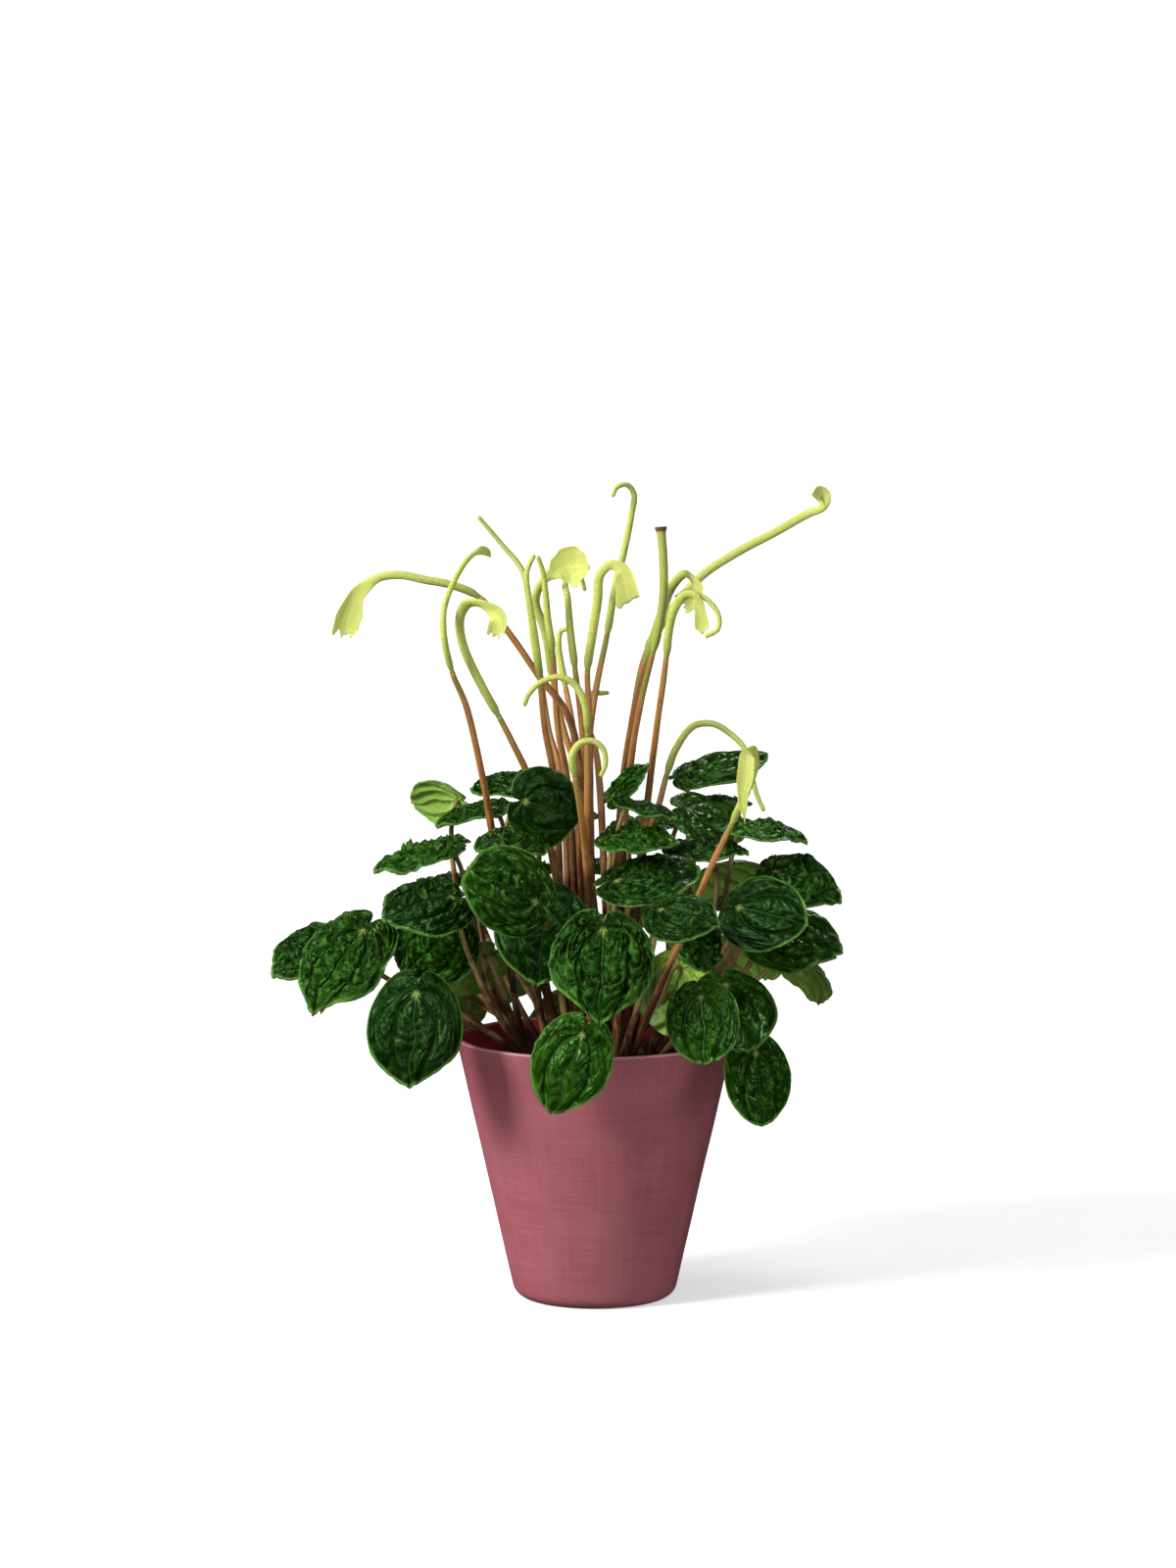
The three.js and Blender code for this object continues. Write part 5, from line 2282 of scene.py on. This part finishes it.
        bm = stem(rings_of(path, 0, 1, 0.5), self.arm_sides, reach)
        Layer.TONE.fill(bm, 1.0)
        Layer.FLAT.fill(bm, self.arm_flat)
        return bm

    def build(self, materials: tuple[Material, ...]) -> Piece:
        """Builds the spike.

        Args:
            materials: For its skin and for a cut end.

        Returns:
            The spike.
        """
        reach = self.crest_reach if self.crest else self.round_reach
        bm = stem(self.rings, self.sides, reach, SpikePart.SKIN, self.crest is not None)
        Layer.TONE.fill(bm, self.flower.tone)
        flats, chart = Layer.FLAT.on(bm), bm.loops.layers.uv[CHART]
        brown = 1 - self.brown_rings / len(self.rings)
        for face in bm.faces:
            shares = [loop[chart].uv.y for loop in face.loops]
            if self.crest:
                for loop, share in zip(face.loops, shares):
                    loop.vert[flats] = self.crest.flat(share)
            if self.flower.cut and max(shares) > brown:
                face.material_index = SpikePart.CUT
        if self.flower.curl:
            add_part(bm, self.arm())
        return finished(f"spike_{self.number:02d}", bm, materials)


# ---- Studio ----


@dataclass(frozen=True)
class Lamp:
    """A soft square light that looks at the plant, in metres and watts."""

    name: str
    place: Triple
    size: float
    power: float
    glossy: bool = False  # whether it only makes glints in shiny skin
    aim: Triple = (0, 0, 0.17)

    def build(self) -> None:
        """Adds the light."""
        data = bpy.data.lights.new(self.name, "AREA")
        data.shape = "SQUARE"
        data.size = self.size
        data.energy = self.power
        lamp = bpy.data.objects.new(self.name, data)
        place = Vector(self.place)
        turn = (place - Vector(self.aim)).to_track_quat("Z", "Y")
        lamp.matrix_world = Matrix.LocRotScale(place, turn, None)
        lamp.visible_glossy = self.glossy
        lamp.visible_diffuse = not self.glossy
        bpy.context.scene.collection.objects.link(lamp)


@dataclass(frozen=True)
class Studio:
    """The floor, the lights and the camera."""

    camera_place: Triple = (-0.0028, -1.763, 0.381)  # metres
    camera_dip: float = 5.6  # degrees below level
    lens: float = 101.25
    sensor: float = 36
    clip: tuple[float, float] = (0.05, 20)  # metres
    floor_front: float = -2600
    floor_back: float = 1000
    floor_half: float = 3000
    bend: float = 800  # radius of the sweep behind the plant
    wall: float = 2200
    air: Colour = (0.97, 0.98, 1.0)
    sky: float = 0.14
    lamps: tuple[Lamp, ...] = (
        Lamp("key light", (-1.5, -1.0, 1.15), 0.6, 52),
        Lamp("left light", (-1.7, 0.0, 0.35), 0.8, 12),
        Lamp("fill light", (1.4, -1.1, 0.15), 1.0, 7),
        Lamp("low light", (0.25, -0.9, 0.04), 0.4, 2.6),
        Lamp("top light", (0.1, 0.2, 1.9), 1.2, 8),
        Lamp("glint light", (-0.8, -1.2, 1.6), 0.40, 30, glossy=True),
        Lamp("side glint light", (1.2, -1.0, 1.3), 0.26, 7, glossy=True),
        Lamp("back glint light", (0.2, 1.0, 1.3), 0.26, 5, glossy=True),
    )

    def floor(self, material: Material) -> Piece:
        """Builds the floor, which sweeps up behind the plant.

        Args:
            material: The floor's material.

        Returns:
            The floor.
        """
        outline = [(self.floor_front, 0)]
        for turn in range(0, 91, 10):
            up, back = ring_point(self.bend, turn)
            outline.append((self.floor_back + back, self.bend - up))
        outline.append((self.floor_back + self.bend, self.bend + self.wall))
        bm = bmesh.new()
        verts = [bm.verts.new((-self.floor_half, y, z)) for y, z in outline]
        edges = [bm.edges.new(pair) for pair in zip(verts, verts[1:])]
        swept = bmesh.ops.extrude_edge_only(bm, edges=edges)["geom"]
        moved = [item for item in swept if isinstance(item, bmesh.types.BMVert)]
        bmesh.ops.translate(bm, vec=(2 * self.floor_half, 0, 0), verts=moved)
        bm.normal_update()
        down = [face for face in bm.faces if face.normal.dot(UP + FRONT) < 0]
        bmesh.ops.reverse_faces(bm, faces=down)
        floor = finished("studio_floor", bm, (material,))
        floor.visible_diffuse = False
        floor.visible_glossy = False
        return floor

    def camera(self) -> None:
        """Adds the camera."""
        data = bpy.data.cameras.new("camera")
        data.lens = self.lens
        data.sensor_width = self.sensor
        data.clip_start, data.clip_end = self.clip
        camera = bpy.data.objects.new("camera", data)
        camera.location = self.camera_place
        camera.rotation_euler = (math.radians(90 - self.camera_dip), 0, 0)
        bpy.context.scene.collection.objects.link(camera)
        bpy.context.scene.camera = camera

    def world(self) -> None:
        """Lights everything softly from all round."""
        world = bpy.data.worlds.new("studio air")
        world.use_nodes = True
        sky = world.node_tree.nodes["Background"]
        sky.inputs["Color"].default_value = rgba(self.air)
        sky.inputs["Strength"].default_value = self.sky
        world.cycles_visibility.glossy = False
        bpy.context.scene.world = world
        bpy.context.scene.view_settings.view_transform = "Standard"

    def build(self, material: Material) -> Piece:
        """Sets up the whole studio.

        Args:
            material: The floor's material.

        Returns:
            The floor.
        """
        self.camera()
        self.world()
        for lamp in self.lamps:
            lamp.build()
        return self.floor(material)


# ---- The plant ----


def settle(piece: Piece, node: str) -> None:
    """Sets a piece on the plant's body in the place of a CAD node, and reports it.

    Args:
        piece: The finished piece.
        node: The CAD node that it stands for.
    """
    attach(piece, "root")
    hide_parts(node)
    triangles = sum(len(face.vertices) - 2 for face in piece.data.polygons)
    log.info("%s stands for %s: %d triangles", piece.name, node, triangles)


def main() -> None:
    """Builds the studio, the pot, the soil, the leaves and the flowers."""
    logging.basicConfig(level=logging.INFO, format="%(name)s: %(message)s")
    effects = Effects()

    def materials(*finishes: Finish) -> tuple[Material, ...]:
        """The materials of some finishes, in their order."""
        return tuple(finish.material(effects) for finish in finishes)

    Studio().build(*materials(SweepFinish()))

    pot = Pot()
    moulded = materials(
        PotFinish("pot outside", (0.32, 0.085, 0.104), (0.42, 0.145, 0.168)),
        # The inner wall is the same plastic as the outside; its brighter, redder colour is painted light
        # bounced inside the pot.
        PotFinish("pot inner wall with painted light", (0.75, 0.035, 0.085), (0.78, 0.07, 0.12)),
        # The rim's lighter pink is painted highlight along the top edge.
        PotFinish("pot rim with painted highlight", (0.48, 0.20, 0.225), (0.56, 0.27, 0.29)),
    )
    settle(pot.build(moulded), "pot")
    settle(pot.soil(*materials(SoilFinish())), "soil")

    leafy = materials(BladeFinish(), UndersideFinish(), MarginFinish(), PetioleFinish())
    for number, shoot in enumerate(SHOOTS, 1):
        foliage = LeafyShoot(shoot, number).build(leafy)
        settle(foliage, f"leafy_shoot_{number:02d}")

    woody, budded = materials(StalkFinish()), materials(SpikeFinish(), CutFinish())
    for number, flower in enumerate(FLOWERS, 1):
        stalk = Stalk(flower, number).build(*woody)
        settle(stalk, f"flower_stalk_{number:02d}")
        spike = Spike(flower, number).build(budded)
        settle(spike, f"flower_spike_{number:02d}")


if __name__ == "__main__":
    main()
